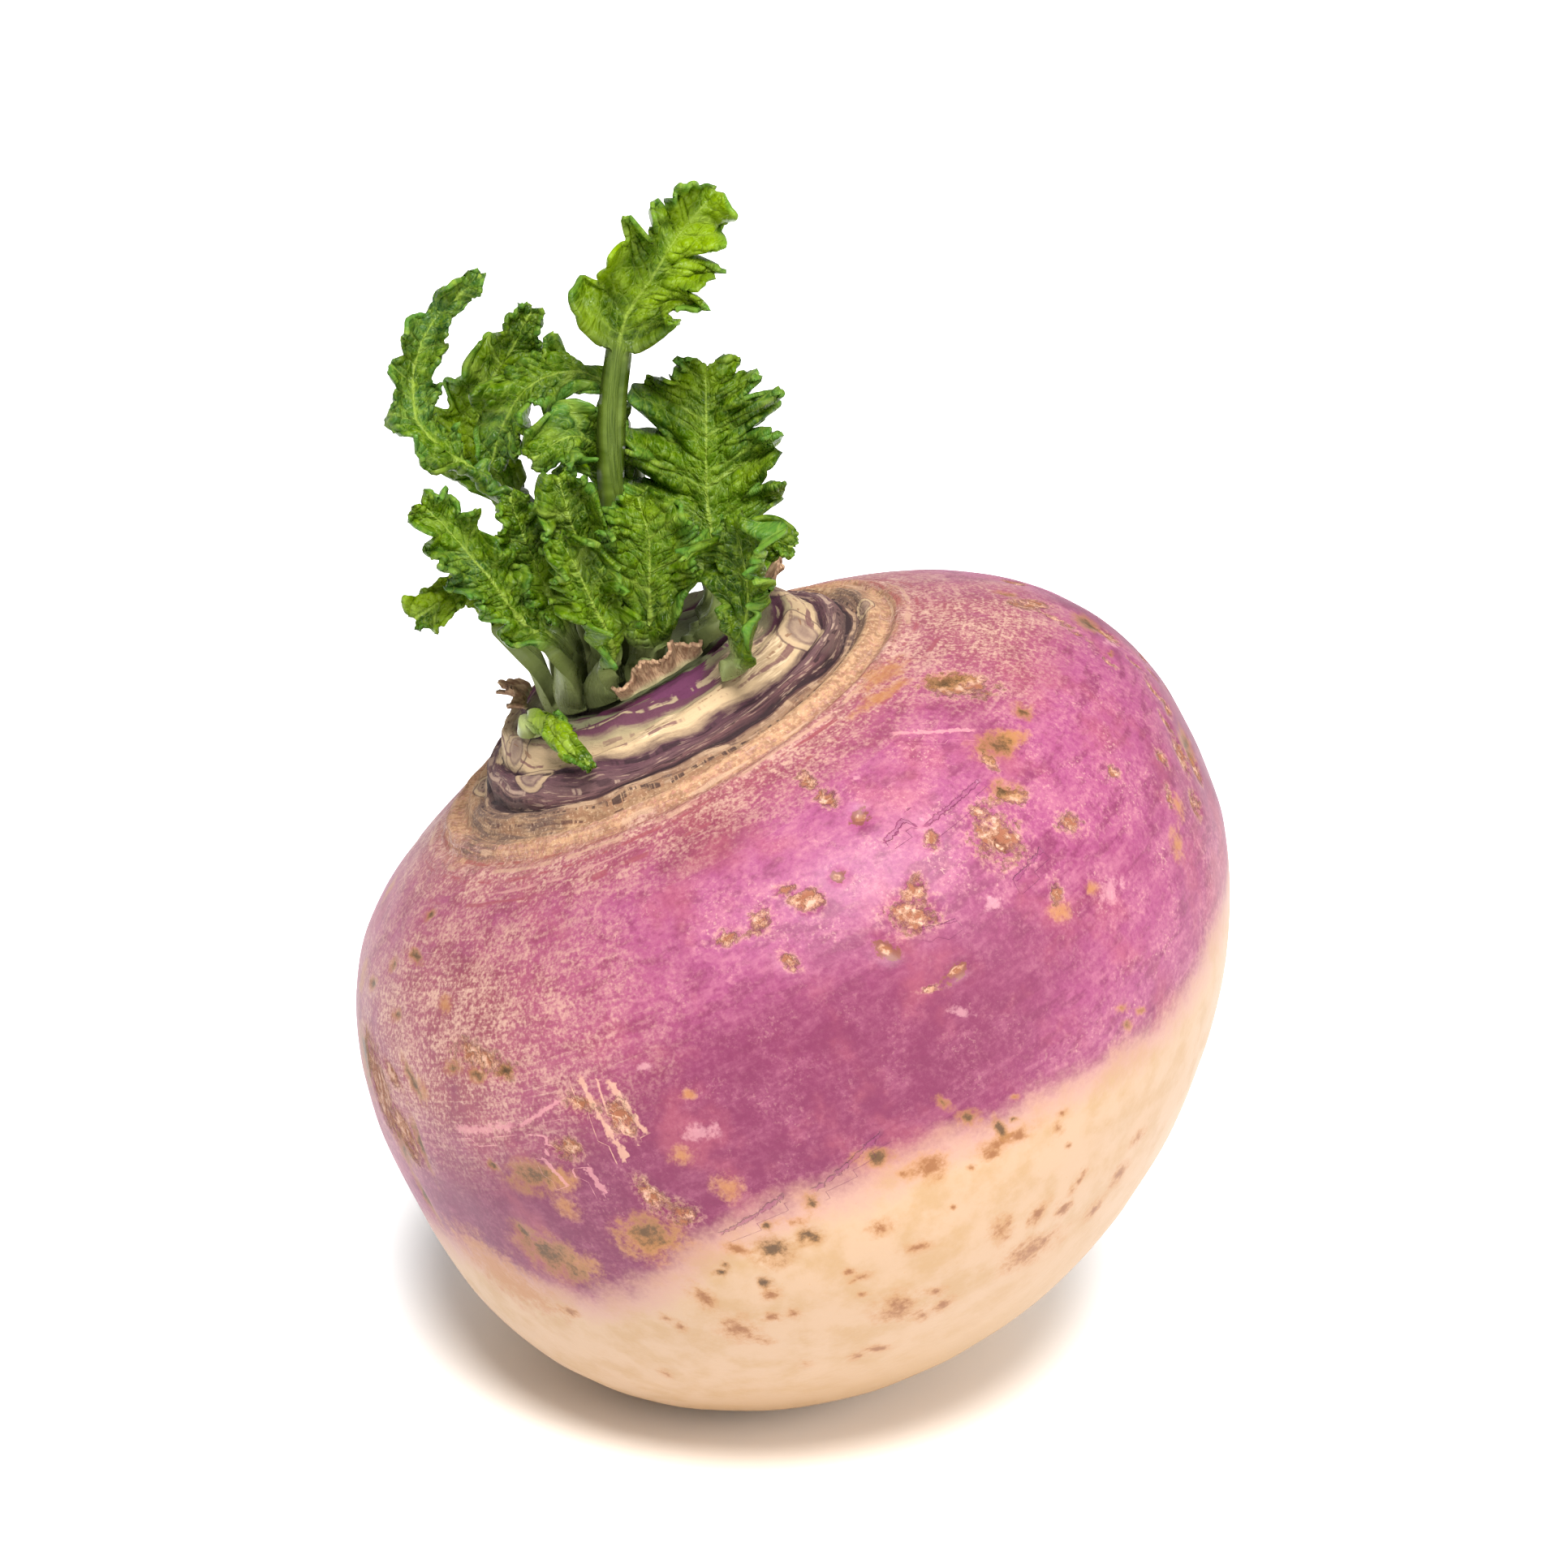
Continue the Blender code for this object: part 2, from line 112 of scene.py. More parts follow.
# The leaves.
FOOT_GAP = 0.5 * MM
FOOT_SPAN = 1.5 * MM  # a foot is square to the crown over this much either side of it
BLADE_THICKNESS = 0.42 * MM
STALK_THICKNESS = 1.8 * MM
STALK_HALF_WIDTH = 1.3 * MM
STALK_FLARE = 0.3  # the stalk's foot is wider than its middle by this share
STALK_TAPER = 0.4  # the stalk loses this share of its width by the tip
STALK_CUP = math.radians(35)
FOOT_STRAIGHT = 3 * MM  # a leaf leaves the crown squarely over this length
RIB_HALF_WIDTH = 0.9 * MM
UNEVEN_LOBES = 0.3  # how far, in lobes, a lobe may lie from its even place
VEIN_SLANT = math.radians(30)
ROUTE_STEPS = 96
SPINE_STEPS = 720

# How a fine leaf's rows are shared out: the stalk has fewer and longer faces than the blade.
FEWEST_STALK_ROWS = 12
STALK_ROW_SHARE = 0.45
STALK_ROW_CROWDING = 1.3  # more than 1 crowds the stalk's rows towards its foot
UV_SPAN = 10  # the leaf's flat distance, in mm, that the UV map's 0 to 1 stands for

# What the fine leaves add.
TOOTH_DEPTH = 0.24  # of the half width
CURL = math.radians(95)
RUFFLE = 2.6 * MM
FRILL = 1.9 * MM
BLISTER = 0.75 * MM
BLISTER_SIZE = 1.9 * MM
VEIN_SINK = 0.3 * MM
FINE_RIB = 0.27 * MM
PALE_FOOT = 9 * MM

# How yellow, from 0 for bluish to 1, the painted light makes a leaf: yellow where it is lit, dull bluish
# where it is less lit; the others are even.
LEAF_PAINTED_LIGHT = {
    "leaf_tall": 0.78, "leaf_left_lobe": 0.85, "leaf_left_back": 0.62, "leaf_far_left": 0.2,
    "leaf_arched": 0.3, "leaf_inner": 0.25, "leaf_left_low": 0.4, "leaf_drooping": 0.7,
}

Leaf = namedtuple("Leaf", "name foot route faces bare width peak lobes cut cup ruffle across rows")
"""foot is the foot's distance from the root's axis, in mm, and its turn from +X, in degrees.
route holds points that the midrib passes, in mm from the foot along the world's axes.
faces are the directions that the upper side faces where the blade starts and at the tip,
each (lean from upright, heading) in degrees. bare is the share of the length with no blade.
width is the blade's half width in mm, at the share peak of the blade's length.
cut is the depth of the notches between its lobes, cup in degrees, ruffle in mm."""

LEAVES = (
    Leaf(
        "leaf_tall", (1.5, 200),
        ((0.5, -2.5, 6), (0, -2, 12.5), (-0.5, -1.5, 19), (-0.5, -1, 25.5), (0, -0.5, 30.5),
         (1, -0.5, 35.5), (3.5, -0.5, 39.5), (6.5, 0.5, 44), (9.5, 1.5, 47)),
        ((80, 265), (75, 290)),
        0.645, 7.1, 0.22, 4, 0.45, 25, 1.6, 8, 20,
    ),
    Leaf(
        "leaf_right", (8.6, 352),
        ((0.5, -1.5, 4.5), (0, 0.5, 9), (-0.5, 2, 13.5), (-0.5, 3, 18.5), (-0.5, 4, 22),
         (-0.5, 4.5, 25)),
        ((78, 268), (70, 265)),
        0.2, 9.6, 0.38, 5, 0.5, 15, 1.5, 8, 20,
    ),
    Leaf(
        "leaf_right_low", (9.0, 323),
        ((2, -3, 4.5), (4, -3, 8.5), (6.5, -3, 12), (9, -3.5, 11.5)),
        ((50, 275), (60, 270)),
        0.4, 2.6, 0.5, 2, 0.35, 20, 0.8, 6, 10,
    ),
    Leaf(
        "leaf_front_right", (16.5, 309),
        ((1, -4, 4), (1.5, -3.5, 8.5), (1, -3, 12), (0, -2, 15.5)),
        ((75, 220), (60, 225)),
        0.2, 6, 0.5, 3, 0.25, 60, 1.1, 8, 14,
    ),
    Leaf(
        "leaf_front", (6.4, 284),
        ((0.5, -2.5, 5), (0.5, -3, 10.5), (0.5, -2.5, 14.5), (-0.5, -1.5, 18.5)),
        ((80, 272), (70, 270)),
        0.22, 6, 0.5, 4, 0.25, 30, 1.1, 8, 16,
    ),
    Leaf(
        "leaf_front_left", (8.8, 253),
        ((0.5, -5, 7.5), (-1, -6.5, 12), (-2.5, -7, 16), (-4, -7.5, 19)),
        ((70, 310), (65, 290)),
        0.3, 4.2, 0.5, 3, 0.3, 30, 1.1, 8, 12,
    ),
    Leaf(
        "leaf_left_low", (9.0, 226),
        ((-1, -5, 8), (-4.5, -5.5, 11), (-7.5, -6, 15.5), (-10.5, -6, 19.5), (-13.5, -6, 23)),
        ((45, 285), (60, 270)),
        0.35, 4.4, 0.55, 5, 0.45, 25, 1.1, 8, 18,
    ),
    Leaf(
        "leaf_left_inner", (5.5, 185),
        ((-1.5, -4, 7), (-4, -4, 13), (-5.5, -5, 17.5), (-6.5, -5, 21)),
        ((60, 290), (60, 285)),
        0.35, 3.7, 0.45, 4, 0.3, 25, 1.1, 8, 12,
    ),
    Leaf(
        "leaf_far_left", (9, 152),
        ((-1, -4, 8), (-2.5, -5, 15), (-4.5, -6, 20), (-7, -8, 23.5), (-10.5, -9, 26.5),
         (-13, -8, 29), (-13.5, -6, 32.5), (-12.5, -5, 36.5), (-10, -4, 39.5), (-7, -4, 42.5)),
        ((5, 275), (80, 280)),
        0.42, 3.2, 0.4, 6, 0.5, 20, 1, 8, 22,
    ),
    Leaf(
        "leaf_left_back", (9, 118),
        ((-2.5, -3.5, 8.5), (-6.5, -1.5, 14.5), (-10, -0.5, 19), (-11.5, -0.5, 23.5),
         (-10.5, -0.5, 27.5), (-8, -0.5, 31.5), (-6, -0.5, 35.5)),
        ((75, 280), (80, 280)),
        0.46, 4.6, 0.35, 4, 0.4, 20, 1.1, 8, 16,
    ),
    Leaf(
        "leaf_arched", (8, 75),
        ((-1.5, -1, 10.5), (-3, -1.5, 20), (-4.5, -4.5, 26), (-8, -5, 27.5), (-12, -5.5, 26),
         (-14.5, -5.5, 22), (-15.5, -5.5, 18.5)),
        ((12, 280), (75, 265)),
        0.5, 4, 0.55, 4, 0.4, 20, 1.1, 8, 16,
    ),
    Leaf(
        "leaf_inner", (5.5, 105),
        ((0, -2.5, 9), (-0.5, -2, 16.5), (-2, -3.5, 21.5), (-4.5, -7, 24), (-8, -9, 22.5)),
        ((60, 275), (60, 265)),
        0.48, 4.1, 0.5, 3, 0.3, 20, 0.9, 8, 12,
    ),
    Leaf(
        "leaf_middle", (4.6, 238),
        ((-0.5, -2, 6), (-2, -2.5, 13), (-3.5, -3, 18), (-4.5, -3, 22)),
        ((70, 280), (70, 275)),
        0.3, 4.3, 0.5, 3, 0.3, 25, 1, 8, 12,
    ),
    Leaf(
        "leaf_drooping", (13.4, 224),
        ((1.5, -3, 2), (3.5, -7, 1), (5.5, -9, 0)),
        ((44, 214), (44, 228)),
        0.1, 1.5, 0.4, 2, 0.3, 15, 0.3, 6, 10,
    ),
    Leaf(
        "leaf_left_lobe", (9.2, 197),
        ((-2, -3, 6.5), (-5, -3.5, 10.5), (-7.5, -5, 14), (-10, -7, 13.5), (-12.5, -7.5, 12)),
        ((40, 275), (50, 265)),
        0.5, 2.8, 0.6, 2, 0.3, 20, 0.8, 8, 10,
    ),
)

# The dry scales: papery remains of old leaf bases, standing on the crown.
SCALE_COLUMNS = 120
SCALE_ROWS = 30
SCALE_RUFFLE = 0.7 * MM
SCALE_WAVE = 0.35 * MM
SCALE_TORN = 0.8  # how much of a scale's height is left where its edge is torn

Scale = namedtuple("Scale", "name radius start stop height flare")
"""radius is the distance from the root's axis in mm, start and stop the turns from +X in degrees,
height and flare how high the scale stands and how far its edge leans out, in mm."""

SCALES = (
    Scale("dry_scale_front", 12.2, 267, 311, 3.0, 1.5),
    Scale("dry_scale_right", 14.0, 336, 374, 5.0, 1.2),
    Scale("dry_scale_left", 11.5, 166, 194, 2.6, 1.2),
)

# The crown's rings, outwards: (distance from the axis, depth of the groove there, its half width), in mm.
GROOVES = (
    (9.2, 0.4, 0.35), (11.2, 0.35, 0.3), (12.4, 0.2, 0.2), (13.7, 0.45, 0.3), (15.6, 0.2, 0.18),
    (17.2, 0.55, 0.25), (18.4, 0.3, 0.18), (19.6, 0.6, 0.28), (20.6, 0.25, 0.15), (21.5, 0.2, 0.15),
)
RING_SWAY = 1.5  # how far, in mm, the crown's inner rings shift towards RING_HEADING
SWAY_REACH = (30, 14)  # where that starts and where it is whole, inwards, in mm
RING_WANDER = 0.3  # how far, in mm, a ring wanders off its circle
CORK_GRAIN = 0.16  # how high, in mm, the cork's grain stands
CORK_GRAIN_REACH = (28, 25)  # where it starts and where it is whole, inwards, in mm
RING_HEADING = math.radians(335)

# Old leaf scars, open loops among the rings: (turn, distance from the axis, half length, half height).
LEAF_SCARS = (
    (344, 17.6, 3.6, 1.9), (4, 22.3, 2.8, 1.1), (208, 14.8, 3.2, 1.7), (226, 17.2, 3.4, 1.0),
    (22, 16.5, 3.8, 1.8), (52, 19.5, 4.2, 1.4), (80, 15.5, 3.6, 1.7), (118, 18.5, 4.4, 1.6),
    (150, 15.8, 3.4, 1.6), (178, 19.5, 4.0, 1.3),
)

# Purple stains, dusky patches and bleached patches of the crown, placed as the scars are.
CROWN_STAINS = ((293, 13.2, 4.6, 2.2), (330, 11.5, 4.0, 1.6), (150, 13.5, 5.0, 1.8))
CROWN_DUSKS = (
    (206, 20.5, 8.0, 3.4), (214, 23.0, 9.0, 2.6), (236, 20.8, 5.0, 1.5), (352, 21.0, 7.0, 2.4),
    (20, 22.0, 6.0, 2.0),
)
CROWN_BLEACHES = ((322, 16.2, 6.2, 2.6), (275, 16.4, 4.0, 1.2), (60, 16.5, 6.0, 2.0), (185, 15.5, 5.0, 1.6))

# Where the purple stops, up the root's axis in mm, at turns from +X in degrees.
PURPLE_EDGE = (
    (0, -6), (35, -4.5), (80, -6.5), (125, -3), (170, -4.5), (200, -1), (217, -1.5), (235, -7.2), (262, -2.2),
    (286, -3.7), (292, -5), (323, -8.8), (341, -7.2),
)

# Russet patches of the purple: (turn, height, half of each). Degrees and mm.
RUSSET = ((222, 20, 34, 11), (352, 27, 26, 5), (60, 20, 24, 7), (130, 12, 22, 8))

# Deeper and fairer patches of the purple, given the same way: partly the skin's own blotches, partly painted
# shade low on the front and painted light on its right side and shoulder, where the lamps fall.
DEEPER_AND_SHADED = ((272, 5, 40, 11), (240, 2, 30, 9), (20, 5, 34, 9), (95, 6, 30, 10), (160, 3, 30, 10))
FAIRER_AND_LIT = ((340, 13, 26, 13), (300, 26, 24, 7), (318, 0, 22, 7), (70, 22, 26, 9), (130, 24, 24, 7))

# Marks in the skin: (turn from +X, height up the axis, half length, half width, tilt from level), in mm
# and degrees. Those whose name ends in _line are fine lines, drawn across their width by the finish.
MARKS = {
    "scab": (
        (297, 27.5, 1.2, 0.6, 85), (297, 26, 1.1, 0.7, -80), (286, 20.5, 1, 0.9, -10),
        (285, 21.5, 0.6, 0.4, 15), (284, 22.5, 0.8, 0.5, -30), (279, 21.5, 1, 0.7, 45),
        (274, 21, 0.9, 0.6, -5), (280, 17.5, 0.9, 0.5, -70), (296, 16, 1.9, 1.3, -25),
        (298, 17, 1.1, 0.8, 45), (293, 9.5, 1.1, 0.2, -20), (319, 21, 0.9, 0.5, 80),
        (317, 18.5, 1.2, 0.8, -35), (311, 16.5, 2, 1.8, -65), (304, 19.5, 0.7, 0.6, 50),
        (312, 19, 1.1, 0.7, 15), (313, 9.5, 1.1, 0.5, 50), (321, 13, 1.2, 0.9, -50),
        (330, 26, 2.6, 1.4, -60), (333, 13, 0.7, 0.5, -35), (344, 9.5, 1, 0.6, 85),
        (350, 7.5, 1.7, 0.9, 60), (353, 4.5, 1.2, 1, 85), (346, 2.5, 1.1, 1, 55),
        (340, 6.5, 1, 0.5, 50), (234, 18.5, 3.2, 1, -20), (253, 11, 1.5, 1, -70),
        (248, 13, 1.3, 0.8, -35), (244, 9.5, 1.3, 0.9, -20), (252, 3, 1.8, 0.8, -75),
        (254, 0.5, 1.5, 0.9, -30), (205, 14, 4.4, 2.5, -45), (212, 10.5, 2.4, 1.5, -60),
        (212, 16.5, 1.9, 0.6, -25), (0, 22.5, 1.5, 0.35, 62), (357, 20.5, 1.3, 0.3, 66),
        (3, 17.5, 1.6, 0.35, 70), (359, 15, 1.2, 0.3, 74), (356, 12.5, 1.3, 0.35, 78), (2, 12, 1.1, 0.3, 72),
        (353, 17.5, 1.2, 0.3, 66), (352, 10, 1.2, 0.3, 80), (5, 9, 1.4, 0.35, 76),
    ),
    "scab_line": (
        (250, 12, 3.8, 0.3, -80), (254, 11.5, 3.4, 0.3, -75), (251, 9, 2.1, 0.4, -80),
    ),
    "pit": (
        (299, 24, 1, 0.7, 15), (291, 21.5, 0.6, 0.6, -35), (291, 14.5, 1.3, 0.7, -65),
        (297, 9.5, 1.7, 0.6, 10), (311, 16, 1, 0.4, -75),
    ),
    "rust": (
        (325, 21, 1.3, 0.8, -20), (312, 8, 0.9, 0.7, -35), (318, 7, 0.7, 0.5, -35),
        (341, 5, 1, 0.9, 60), (336, 3, 1.2, 0.8, 55), (226, 22.5, 0.8, 0.7, 50),
        (249, 13, 0.8, 0.5, -15), (245, 9.5, 0.7, 0.5, -10), (262, 11, 0.5, 0.4, -20),
        (241, 6.5, 1.4, 0.9, -5), (240, 3.5, 1, 0.9, -5), (236, -2.5, 2.3, 1.1, -15),
        (249, -2, 2.5, 1.7, -15), (258, 5.5, 0.9, 0.7, -10), (261, 1.5, 1, 1, -25),
        (220, -4, 4.4, 2.5, -40), (223, -6.5, 2, 1.9, -60), (221, 15.5, 0.9, 0.6, -70),
        (327, 29.5, 2.5, 1, -10), (320, 29, 2.6, 0.5, -10),
    ),
    "dark": (
        (322, 22, 1.8, 1.1, -20), (317, 19, 1.2, 0.7, -30), (330, 27, 1.6, 0.8, -45),
        (331, 21.5, 0.8, 0.8, 25), (4, 19.5, 1.9, 1, -10), (355, 6.5, 1.3, 1.3, 60),
        (228, 17.5, 0.9, 0.5, 0), (233, 17, 1, 0.5, -5), (238, 17, 0.9, 0.5, -5),
        (231, 9, 0.4, 0.4, -5), (207, 24.5, 0.8, 0.5, 10), (214, 25.5, 1.4, 0.4, -10),
        (213, 21.5, 0.8, 0.5, 5), (200, 22.5, 1, 0.5, 15), (212, 27.5, 0.7, 0.5, 5),
        (237, 7, 2.4, 1.2, -5), (233, -1.5, 3, 1.8, -30), (230, 1.5, 1.1, 0.6, -90),
        (249, -1, 2.1, 1.5, -15), (196, 16, 2.4, 2.4, 20), (209, 8.5, 1.4, 1.4, -60),
        (218, 16.5, 1.9, 0.5, -50), (216, 10, 2.8, 0.5, -85), (209, 3.5, 2.4, 0.6, -80),
        (262, -7, 1.3, 1.2, -25), (267, -6.5, 0.9, 0.7, -35), (269, -4, 0.9, 0.6, 65),
        (263, -4, 0.4, 0.4, -25), (256, -6, 0.4, 0.3, 60), (255, -7, 0.6, 0.4, -25),
        (258, -9.5, 0.6, 0.6, -25), (278, -2.5, 1.4, 0.6, -35), (293, -6, 1.2, 0.4, -85),
        (295, -6, 0.3, 0.3, -35), (288, -0.5, 0.7, 0.4, -70), (290, -3.5, 0.9, 0.6, -35),
        (314, -6, 0.6, 0.4, -35),
    ),
    "spot": (
        (229, -9, 0.8, 0.6, 0), (243, -11, 0.6, 0.6, -15), (244, -12.5, 0.6, 0.5, 55),
        (233, -19, 0.8, 0.6, 45), (258, -4.5, 0.7, 0.6, -20), (259, -5.5, 1, 0.4, -35),
        (266, -4.5, 1.2, 0.4, -30), (274, -9, 0.9, 0.8, -35), (283, -6, 1.5, 1.1, -25),
        (277, -13.5, 1.2, 0.6, -30), (269, -13.5, 0.9, 0.4, -5), (268, -12, 0.5, 0.4, -35),
        (288, -17, 1.3, 1, 90), (294, -18, 1.2, 0.8, 45), (297, -19.5, 1, 0.7, -50),
        (293, -7.5, 2.1, 0.6, -10), (291, -8, 0.9, 0.4, -15), (295, -8.5, 0.9, 0.4, -35),
        (299, -10, 0.7, 0.6, 75), (300, -12.5, 0.4, 0.3, -40), (296, -4.5, 0.3, 0.3, -35),
        (288, -8, 0.3, 0.3, -35), (280, -5, 0.3, 0.3, -35), (283, -11, 0.3, 0.3, -40),
        (301, -17.5, 1.4, 0.5, 40), (310, -21.5, 1.3, 1.1, 40), (314, -19, 0.9, 0.7, 5),
        (251, -14.5, 1.5, 1.3, 50), (250, -9.5, 1.4, 0.8, -85), (256, -14, 1, 0.5, -20),
        (259, -14.5, 0.6, 0.6, 60), (253, -22, 0.7, 0.7, -55), (263, -24, 1.4, 0.6, -50),
        (260, -24.5, 0.7, 0.7, -30), (276, -19.5, 0.8, 0.6, -50), (273, -22, 0.9, 0.7, 70),
        (268, -15.5, 0.4, 0.4, -40), (258, -11.5, 0.8, 0.6, 10), (314, -4, 0.7, 0.4, -35),
        (317, -6, 0.7, 0.3, -35), (253, -17, 0.8, 0.7, -35), (276, -22, 0.9, 0.8, 0),
        (291, -22.5, 2.9, 1.6, -25), (301, -9, 0.5, 0.4, -40), (304, -23.5, 1, 1, -65),
        (270, -19, 1.8, 1.6, 75),
    ),
    "pale": (
        (305, 12, 1, 0.8, -35), (295, 5.5, 1.3, 0.5, -50), (303, 26, 0.4, 0.4, 45),
        (305, 21.5, 0.3, 0.3, 45), (0, 17.5, 1.6, 0.7, -25), (320, 6, 2.2, 1.1, 0),
        (261, 7, 1.8, 0.8, -10), (258, 14, 0.9, 0.4, -20),
    ),
    "pale_line": (
        (318, 25.5, 4.2, 0.2, -45), (241, 9.5, 2, 0.2, 65), (241, 7, 1.8, 0.2, -70),
        (246, 6, 2, 0.3, -80), (232, 12, 4.4, 0.4, 0), (242, 13, 3.2, 0.2, 15),
    ),
    "crease_line": (
        (302, 22, 2.4, 0.2, 15), (310, 21, 4, 0.2, 0), (312, 13, 2.7, 0.2, 5),
        (298, 13.5, 2.1, 0.1, -20), (275, -1.5, 4.5, 0.2, 15), (262, -2.5, 4, 0.2, 10),
    ),
}


def smooth_step(low, high, value):
    """0 below low, 1 above high and an even rise between them. With low above high it falls instead."""
    share = min(1.0, max(0.0, (value - low) / (high - low)))
    return share * share * (3 - 2 * share)


def mix(first, last, share):
    return first + (last - first) * share


def new_object(name, mesh, material):
    """Makes an object of a bmesh, smooth shaded, with its place in its mesh."""
    data = bpy.data.meshes.new(name)
    mesh.to_mesh(data)
    mesh.free()
    data.shade_smooth()
    data.materials.append(material)
    obj = bpy.data.objects.new(name, data)
    bpy.context.scene.collection.objects.link(obj)
    return obj


def store(obj, name, values, kind="FLOAT"):
    """Keeps a number, or a vector, for each of the mesh's points, for its finish to read."""
    layer = obj.data.attributes.new(name, kind, "POINT")
    field = "value" if kind == "FLOAT" else "vector"
    layer.data.foreach_set(field, np.asarray(values, np.float32).ravel())


# ---------------------------------------------------------------- finishes


TONE = 0.68  # how light every colour of the turnip is under the stage's lights


class Finish:
    """A node material, made a node at a time. A node's inputs are sockets or plain values."""

    def __init__(self, name):
        self.material = bpy.data.materials.new(name)
        self.material.use_nodes = True
        self.tree = self.material.node_tree
        self.shader = self.tree.nodes["Principled BSDF"]

    def node(self, kind, *inputs, **settings):
        made = self.tree.nodes.new("ShaderNode" + kind)
        for key, value in settings.items():
            setattr(made, key, value)
        for socket, value in zip(made.inputs, inputs):
            self.feed(socket, value)
        return made

    def feed(self, socket, value):
        if isinstance(value, bpy.types.NodeSocket):
            self.tree.links.new(value, socket)
        elif value is not None:
            socket.default_value = value

    def set(self, name, value):
        self.feed(self.shader.inputs[name], value)

    def math(self, operation, first, second=0.5, third=None):
        return self.node("Math", first, second, third, operation=operation).outputs[0]

    def times(self, first, second):
        return self.math("MULTIPLY", first, second)

    def swayed(self, value, noise, amount):
        """The value, moved up and down by a noise: by the whole amount from its lowest to its highest."""
        return self.math("MULTIPLY_ADD", self.math("SUBTRACT", noise, 0.5), amount, value)

    def step(self, value, low, high, first=0.0, last=1.0):
        """From first to last as value goes from low to high, evenly eased."""
        ranged = self.node("MapRange", value, low, high, first, last, interpolation_type="SMOOTHSTEP")
        return ranged.outputs[0]

    def colour(self, share, first, last, blend_type="MIX"):
        """A colour this share of the way from the first to the last."""
        mixed = self.node("Mix", data_type="RGBA", blend_type=blend_type)
        for place, value in ((0, share), (6, first), (7, last)):
            self.feed(mixed.inputs[place], (*value, 1) if isinstance(value, tuple) else value)
        return mixed.outputs[2]

    def tinted(self, base, colour, where, most):
        """The base with the colour over it, up to this share, where a value is 1."""
        return self.colour(self.times(where, most), base, colour)

    def toned(self, colour):
        return self.colour(1.0, colour, (TONE, TONE, TONE), "MULTIPLY")

    def ramp(self, value, stops):
        """A colour read from stops of (place, colour), with value from 0 to 1."""
        made = self.node("ValToRGB", value)
        points = made.color_ramp.elements
        while len(points) < len(stops):
            points.new(1)
        for point, (place, colour) in zip(points, stops):
            point.position = place
            point.color = (*colour, 1)
        return made.outputs[0]

    def attribute(self, name, output="Fac"):
        return self.node("Attribute", attribute_name=name).outputs[output]

    def vector(self, x, y, z):
        return self.node("CombineXYZ", x, y, z).outputs[0]

    def noise(self, vector, scale, detail=3.0, roughness=0.5):
        made = self.node("TexNoise")
        settings = {"Vector": vector, "Scale": scale, "Detail": detail, "Roughness": roughness}
        for name, value in settings.items():
            self.feed(made.inputs[name], value)
        return made.outputs[0]

    def cells(self, vector, scale):
        made = self.node("TexVoronoi", feature="DISTANCE_TO_EDGE")
        self.feed(made.inputs["Vector"], vector)
        self.feed(made.inputs["Scale"], scale)
        return made.outputs["Distance"]

    def bump(self, height, distance, strength):
        made = self.node("Bump")
        for name, value in (("Strength", strength), ("Distance", distance), ("Height", height)):
            self.feed(made.inputs[name], value)
        return made.outputs[0]


# ---------------------------------------------------------------- root


def crown_height(radius, around):
    """What the crown adds to the shoulders' height at this distance from the axis."""
    neck = NECK_RISE * smooth_step(NECK_FOOT_RADIUS, NECK_RADIUS, radius)
    basin = BASIN_DEPTH * smooth_step(NECK_RADIUS, BASIN_RADIUS, radius)
    pitches = radius / SCAR_PITCH + SCAR_SPIRAL * around / math.tau
    fade = smooth_step(BASIN_RADIUS, NECK_RADIUS, radius)
    fade *= smooth_step(CORK_RADIUS, CORK_FADE_RADIUS, radius)
    scars = SCAR_RELIEF * math.sin(math.tau * pitches) * fade
    return neck + scars - basin


def root_point(polar, around):
    """The root's surface, in the root frame, at an angle from the crown's pole and a turn from +X."""
    upper = polar < math.pi / 2
    height, power = (UPPER_HEIGHT, UPPER_POWER) if upper else (LOWER_HEIGHT, LOWER_POWER)
    flat = (math.sin(polar) / WIDEST_RADIUS) ** power + (abs(math.cos(polar)) / height) ** power
    reach = flat ** (-1 / power)
    radius = reach * math.sin(polar)
    z = reach * math.cos(polar)
    if upper:
        z += crown_height(radius, around)
    widen = SHOULDER_BULGE * smooth_step(0, 1, radius / WIDEST_RADIUS) * math.cos(around)
    radius *= 1 + widen * smooth_step(*BULGE_HEIGHTS, z)
    x, y = radius * math.cos(around), radius * math.sin(around)
    tip = min(1, max(0, -z) / LOWER_HEIGHT) ** TIP_POWER
    if not upper:
        z -= TAPROOT_LENGTH * smooth_step(TAPROOT_RADIUS + TAPROOT_FOOT, TAPROOT_RADIUS, radius)
    z += BELLY_SHEAR * x * smooth_step(*SHEAR_HEIGHTS, z)
    x += TIP_SHIFT[0] * tip
    y += TIP_SHIFT[1] * tip
    point = Vector((x, y, z))
    calm = smooth_step(CORK_RADIUS * 0.6, CORK_RADIUS, radius) if upper else 1
    lump = noise.noise(point / LUMP_SIZE) * LUMP_HEIGHT * calm
    return point + point.normalized() * lump


def root_to_world():
    hinge = Vector((-math.sin(LEAN_HEADING), math.cos(LEAN_HEADING), 0))
    return Matrix.Translation(ROOT_CENTRE) @ Matrix.Rotation(LEAN, 4, hinge)


def ring_distance(x, y):
    """A point's distance from the axis, in mm, as the crown's swaying rings count it."""
    radius = math.hypot(x, y) / MM
    around = math.atan2(y, x)
    near = smooth_step(*SWAY_REACH, radius)
    sway = RING_SWAY * near * math.cos(around - RING_HEADING)
    flat = Vector((math.cos(around), math.sin(around), radius * 0.07))
    wander = RING_WANDER * noise.noise(flat * 1.6) + RING_WANDER * noise.noise(flat * 5 + Vector((7, 1, 3)))
    return radius - sway + wander * smooth_step(4, 12, radius)


